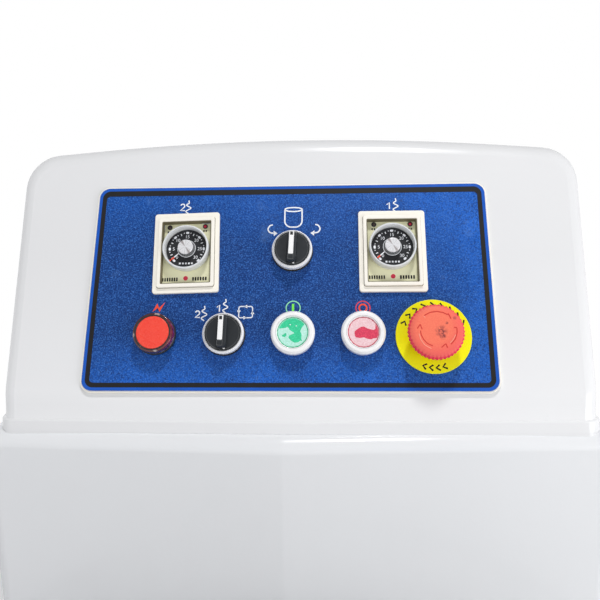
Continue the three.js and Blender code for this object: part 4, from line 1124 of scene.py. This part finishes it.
def emergency_stop():
    """Yellow ring with plain chevrons, black collar, and a scalloped mushroom with engraved arrows."""
    at = on_face("estop_legend_ring", ESTOP_Y)
    legend = frame_plate(circle(29.5, 112), circle(12, 112), DEVICE_Z, 4.5, 0.4)
    piece("estop_ring", legend, YELLOW, at=at, replaces=["estop_legend_ring"])
    marks = []
    for centre in [155 - 16.3 * k for k in range(9)] + [251 + 12 * k for k in range(4)]:
        chevron = [(centre + 3.3, 22.8), (centre - 3.3, 25), (centre + 3.3, 27.2)]
        path = [Vector((r * cos(radians(a)), r * sin(radians(a)))) for a, r in chevron]
        marks.append(stroke(path, 1.4, 4.4, 4.56))
    piece("estop_ring_marks", together(*marks), BLACK_INK, at=at, slot="black_plastic")
    collar = ring([(9, 4.6), (15, 4.6), (15, 7.4, 1), (13, 9.8, 1), (8.6, 9.9, 0.5), (8.6, 4.6)], 64)
    piece("estop_collar", collar, BLACK_PLASTIC, at=at, replaces=["estop_base"])
    stem = turned([(0, 8), (8, 8), (8, 19, 0.4), (0, 19)], 40)
    piece("estop_shaft", stem, BLACK_PLASTIC, "estop_stem", at, replaces=["estop_stem"])

    scallops, sides = 44, 44 * 8
    loose = -0.8  # the head sits a little to the left on its worn stem

    def scalloped(rings):
        return skin([(circle(radius, sides, loose, 0, wave, scallops), z) for radius, z, wave in rings])

    grip = ((13, 15.2, 0), (19.8, 16.7, 0.1), (21, 17.6, 0.36), (21.2, 18.7, 0.38),
            (21.1, 20.7, 0.38), (20.7, 21.9, 0.36), (19.9, 22.7, 0.25))
    body = "estop_mushroom"
    # The scalloped grip in a deeper crimson than the dome: painted shade on the head's side.
    piece("estop_grip", scalloped(grip), MUSHROOM_SIDE_SHADE, body, at, slot="mushroom_red")
    dome = ((20.7, 21.8, 0.36), (19.9, 22.7, 0.25), (18.7, 23.4, 0.08), (17.2, 23.9, 0),
            (15.6, 24.2, 0), (12, 24.3, 0), (6, 24.35, 0), (1, 24.37, 0))
    piece("estop_head", scalloped(dome), MUSHROOM, body, at, replaces=[body])

    def engraved(lines, width, top):
        made = []
        for points in lines:
            path = eased([(x + loose, y, 5 if len(points) > 3 else 0.3) for x, y in points], closed=False)
            made.append(stroke(path, width, 23.6, top))
        return together(*made)

    # The engraved arrows are drawn as flat lines: the dark ones are painted shade in the grooves.
    dark = [
        [(-8.9, 11.7), (-5, 13.9), (0.2, 14.9), (5, 14), (8.4, 12.3)],
        [(8.7, 13.2), (9.9, 11.3), (10.8, 9.1)],
        [(-3.8, -11.5), (-7.5, -9.9), (-10.3, -6.7), (-12, -3.1), (-12.3, 0)],
        [(-14.6, 1.7), (-12.3, 5), (-11.1, 1)],
        [(12.7, 2.4), (14.8, 2.4), (14.7, -1.7), (13.1, -6.5), (9.8, -10.3)],
        [(2.6, -12.7), (6, -9.9), (7, -13)],
    ]
    piece("estop_engraving", engraved(dark, 0.66, 24.42), MUSHROOM_GROOVE_SHADE, body, at, slot="mushroom_red")
    # The pale lines beside them are painted highlight on the grooves' lit edges.
    light = [
        [(-13.6, -2.2), (-12.5, -6.5), (-9.9, -10.8), (-5, -13.7)],
        [(-9.4, 11.1), (-8.4, 10.2)],
        [(13.7, -3.1), (11.3, -7), (9.1, -9.4)],
    ]
    piece("estop_groove_highlight", engraved(light, 0.5, 24.4), MUSHROOM_GROOVE_HIGHLIGHT, body, at, "mushroom_red")


# ---- bowl, tools and guard


def bowl():
    low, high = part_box("bowl")
    z0, z1 = low.z / MM, high.z / MM
    wall, rim, radius = 3, 5.1, 256
    profile = [(0, z0), (radius, z0, 42), (radius, z1 - 2 * rim, 4)]
    rolled = [(radius + rim * sin(a), z1 - rim - rim * cos(a))
              for a in (pi * k / 10 for k in range(1, 10))]
    inside = [(radius - wall, z1 - 0.2, 1.5), (radius - wall, z0 + wall, 39), (0, z0 + wall)]
    shape = turned(profile + rolled + [(radius, z1, 1)] + inside, 144, *BOWL_AXIS, steps=10)
    piece("mixing_bowl", shape, STAINLESS, "bowl", replaces=["bowl"])


def hook():
    """The spiral: out from its shaft, down round the axis, and in again at the bottom."""
    sweep, bar, turns, top, bottom = 92, 15, 1.3, 604, 282
    x, y = SPIRAL_AXIS

    def at(t):
        out = smooth(t / 0.2) - 0.3 * smooth((t - 0.8) / (1 - 0.8))
        r = sweep * (0.1 + 0.9 * out)
        angle = -2 * pi * turns * t
        return Vector((x + r * cos(angle), y + r * sin(angle), top + (bottom - top) * t))

    steps = 150
    start = [Vector((x, y, 636)), Vector((x + 1, y, 622))]
    path = start + [at(k / steps) for k in range(steps + 1)]
    radii = [bar + 4, bar + 2] + [bar] * (steps + 1)
    last = path[-1] - path[-2]
    path += [path[-1] + last * 1.6, path[-1] + last * 2.6]
    radii += [bar * 0.75, bar * 0.3]
    profile = [(0, 614), (20, 614, 2), (27, 622, 2), (27, 636, 2), (24, 640, 1), (24, 760, 1), (0, 762)]
    shaft = turned(profile, 64, x, y)
    piece("spiral_tool", together(tube(path, radii, 28), shaft), STAINLESS_WIRE, "spiral",
          replaces=["spiral_hook"], slot="stainless")


def breaker():
    x, y = BREAKER_AXIS
    stem = [(0, 285), (14, 285, 5), (14, 655, 2), (24, 660, 2), (24, 699.5, 0.6), (0, 699.5)]
    piece("breaker", turned(stem, 56, x, y), STAINLESS_WIRE, replaces=["breaker_bar"], slot="stainless")


def guard():
    """Wire guard: a half-round grille over the bowl's front, with a skirt, a handle and a hinge bar."""
    hinge_y, z, radius, bottom, thick, thin, pitch, rods = -230, 680, 264, 612, 4, 2.5, 36, 13
    low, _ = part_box("guard_cage")
    back = hinge_y - 8
    span = sqrt(radius**2 - (back - BOWL_AXIS[1]) ** 2)
    sweep = asin(span / radius)

    def arc_y(x):
        return BOWL_AXIS[1] - sqrt(radius**2 - x**2)

    def hoop(height):
        angles = [-sweep + 2 * sweep * k / 72 for k in range(73)]
        return [(radius * sin(a), BOWL_AXIS[1] - radius * cos(a), height) for a in angles]

    shapes = [tube(hoop(z), thick, 14), tube(hoop(bottom), thick, 14)]
    shapes.append(tube([(-span, hinge_y, z), (span, hinge_y, z)], thick, 16))
    for x in (-span, span):
        shapes.append(tube([(x, hinge_y + 3, z), (x, back - 4, z)], thick, 14))
        shapes.append(tube([(x, back, z), (x, back, bottom)], thick, 14))
    for i in range(rods):
        x = pitch * (i - (rods - 1) / 2)
        bend = [(x, hinge_y, z + 1), (x, arc_y(x) + 9, z + 1), (x, arc_y(x) + 3, z), (x, arc_y(x), z - 3)]
        shapes.append(tube(bend + [(x, arc_y(x), z - 9), (x, arc_y(x), bottom)], thin, 10))
    grip = 6
    handle_y = low.y / MM + grip
    corners = [(-50, arc_y(50)), (-50, handle_y, 8), (50, handle_y, 8), (50, arc_y(50))]
    corners = eased(corners, closed=False, steps=6)
    shapes.append(tube([(p.x, p.y, z) for p in corners], 4, 14))
    shapes.append(tube([(-40, handle_y, z), (40, handle_y, z)], grip, 20))
    wires = together(*shapes)
    piece("guard_wires", wires, STAINLESS_WIRE, "guard", replaces=["guard_cage"], slot="stainless")


# ---- base, feet and the rest


def base():
    """Painted base cover with a round nose that follows the bowl."""
    low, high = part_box("base_cover")
    half, rear = high.x / MM, high.y / MM
    z0, z1 = low.z / MM, high.z / MM
    x, y = BOWL_AXIS
    nose = [Vector(p) for p in arc(half, 180, 360, x, y, 72)]
    back = [(half, y + 1), (half, rear, 6), (-half, rear, 6), (-half, y + 1)]
    outline = nose + eased(back, closed=False, steps=4)
    hub = [Vector((x, y)) + (p - Vector((x, y))).normalized() * 60 for p in outline]
    edge, sheet = 7, 3
    levels = [(outline, z0)] + rounding(outline, edge, z1, 6)
    levels += [(hub, z1), (hub, z1 - sheet), (inset(outline, edge), z1 - sheet)]
    levels += [(inset(outline, sheet), z1 - edge), (inset(outline, sheet), z0)]
    piece("base_housing", skin(levels, wrap=True), WHITE_PAINT, replaces=["base_cover"], sharp=50)


def feet():
    for place in ("front_left", "front_right", "rear_left", "rear_right"):
        low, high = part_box(f"foot_{place}")
        x, y = (low.x + high.x) / 2 / MM, (low.y + high.y) / 2 / MM
        top = high.z / MM
        pad = turned([(0, 0), (30, 0, 1), (31.5, 4, 1), (31.5, 11, 2), (12, 18, 3), (11, 20), (0, 20)],
                     56, x, y)
        piece(f"foot_{place}_pad", pad, RUBBER, replaces=[f"foot_{place}"])
        threads = [(0, 19)]
        for k in range(9):
            z = 20 + k * 2
            threads += [(9.6, z), (10.6, z + 1)]
        stud = turned(threads + [(9.6, 38), (9.6, top), (0, top)], 40, x, y)
        nut = skin([(circle(15, 6, x, y), 39), (circle(15.8, 6, x, y), 40), (circle(15.8, 6, x, y), 48),
                    (circle(14.6, 6, x, y), 49.2)])
        piece(f"foot_{place}_stud", together(stud, nut), GALVANISED)


def cable_gland():
    low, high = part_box("cable_gland")
    x, z = (low.x + high.x) / 2, (low.z + high.z) / 2
    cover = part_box("base_cover")[1].y
    at = Matrix.Translation((x, cover, z)) @ Matrix.Rotation(-pi / 2, 4, "X")
    nut = skin([(circle(14, 6), 0.4), (circle(14.8, 6), 1), (circle(14.8, 6), 6), (circle(13, 6), 7)])
    length = (high.y - cover) / MM
    boot = [(0, 6), (11, 6, 0.5), (10.5, 10, 0.5)]
    for k in range(5):
        z0 = 11 + k * 5
        radius = 9.6 - k * 0.8
        groove = radius - 1.4
        boot += [(radius, z0, 0.3), (radius, z0 + 2.6, 0.3)]
        boot += [(groove, z0 + 3, 0.2), (groove, z0 + 4.6, 0.2)]
    shape = together(nut, turned(boot + [(5, length, 0.6), (0, length)], 40))
    piece("gland", shape, BLACK_PLASTIC, at=at, replaces=["cable_gland"])


def cover_screws():
    """Domed cross-head screws round the rear cover."""
    low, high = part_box("rear_cover")
    inset_mm = 8
    x1, z0, z1 = high.x / MM - inset_mm, low.z / MM + inset_mm, high.z / MM - inset_mm
    y = high.y
    shapes = []
    for x in (-x1, 0, x1):
        for z in (z0, (z0 + z1) / 2, z1):
            if x == 0 and z not in (z0, z1):
                continue
            screw = turned([(0, -0.2), (5, -0.2), (5, 0.8, 0.6), (3, 2.2, 0.8), (0, 2.4)], 24)
            turn = Matrix.Translation((x, y / MM, z)) @ Matrix.Rotation(-pi / 2, 4, "X")
            shapes.append(moved(screw, turn))
    piece("rear_cover_screws", together(*shapes), STAINLESS_WIRE, slot="stainless")


def carried_over():
    """CAD nodes whose shape is already right: eased edges and a real finish."""
    for names, surface, bevel in (
        (("column_shell",), WHITE_PAINT, 0),
        (("rear_cover",), WHITE_PAINT, 0.6),
        (("base_plate", "head_frame", "jackshaft"), DARK_STEEL, 1),
        (("head_underpan",), STAINLESS, 0),
        (("spiral_bearing_housing", "guard_hinge_left", "guard_hinge_right"), STAINLESS_WIRE, 1),
        (("bowl_turntable", "bowl_bearing_housing", "spiral_pulley", "jackshaft_pulley",
          "jackshaft_bearing", "motor_pulley", "bowl_motor_pulley"), CAST_IRON, 1),
        (("spiral_belt", "motor_belt", "bowl_belt"), RUBBER, 1),
        (("main_motor", "bowl_gearmotor"), MOTOR_GREY, 2),
        (("electrics_deck",), GALVANISED, 0),
        (("contactor_bank", "guard_switch"), BLACK_PLASTIC, 1),
    ):
        for name in names:
            finish_node(name, surface, bevel)


camera()
studio()
hood()
head()
panel()
printing()
for timer_side in ASKEW:
    timer(timer_side)
selector("speed", ROW_Y, 1, -0.9)
selector("bowl", BOWL_SELECTOR_Y, 2.4, -0.35)
buttons()
lamp()
emergency_stop()
bowl()
hook()
breaker()
guard()
base()
feet()
cable_gland()
cover_screws()
carried_over()
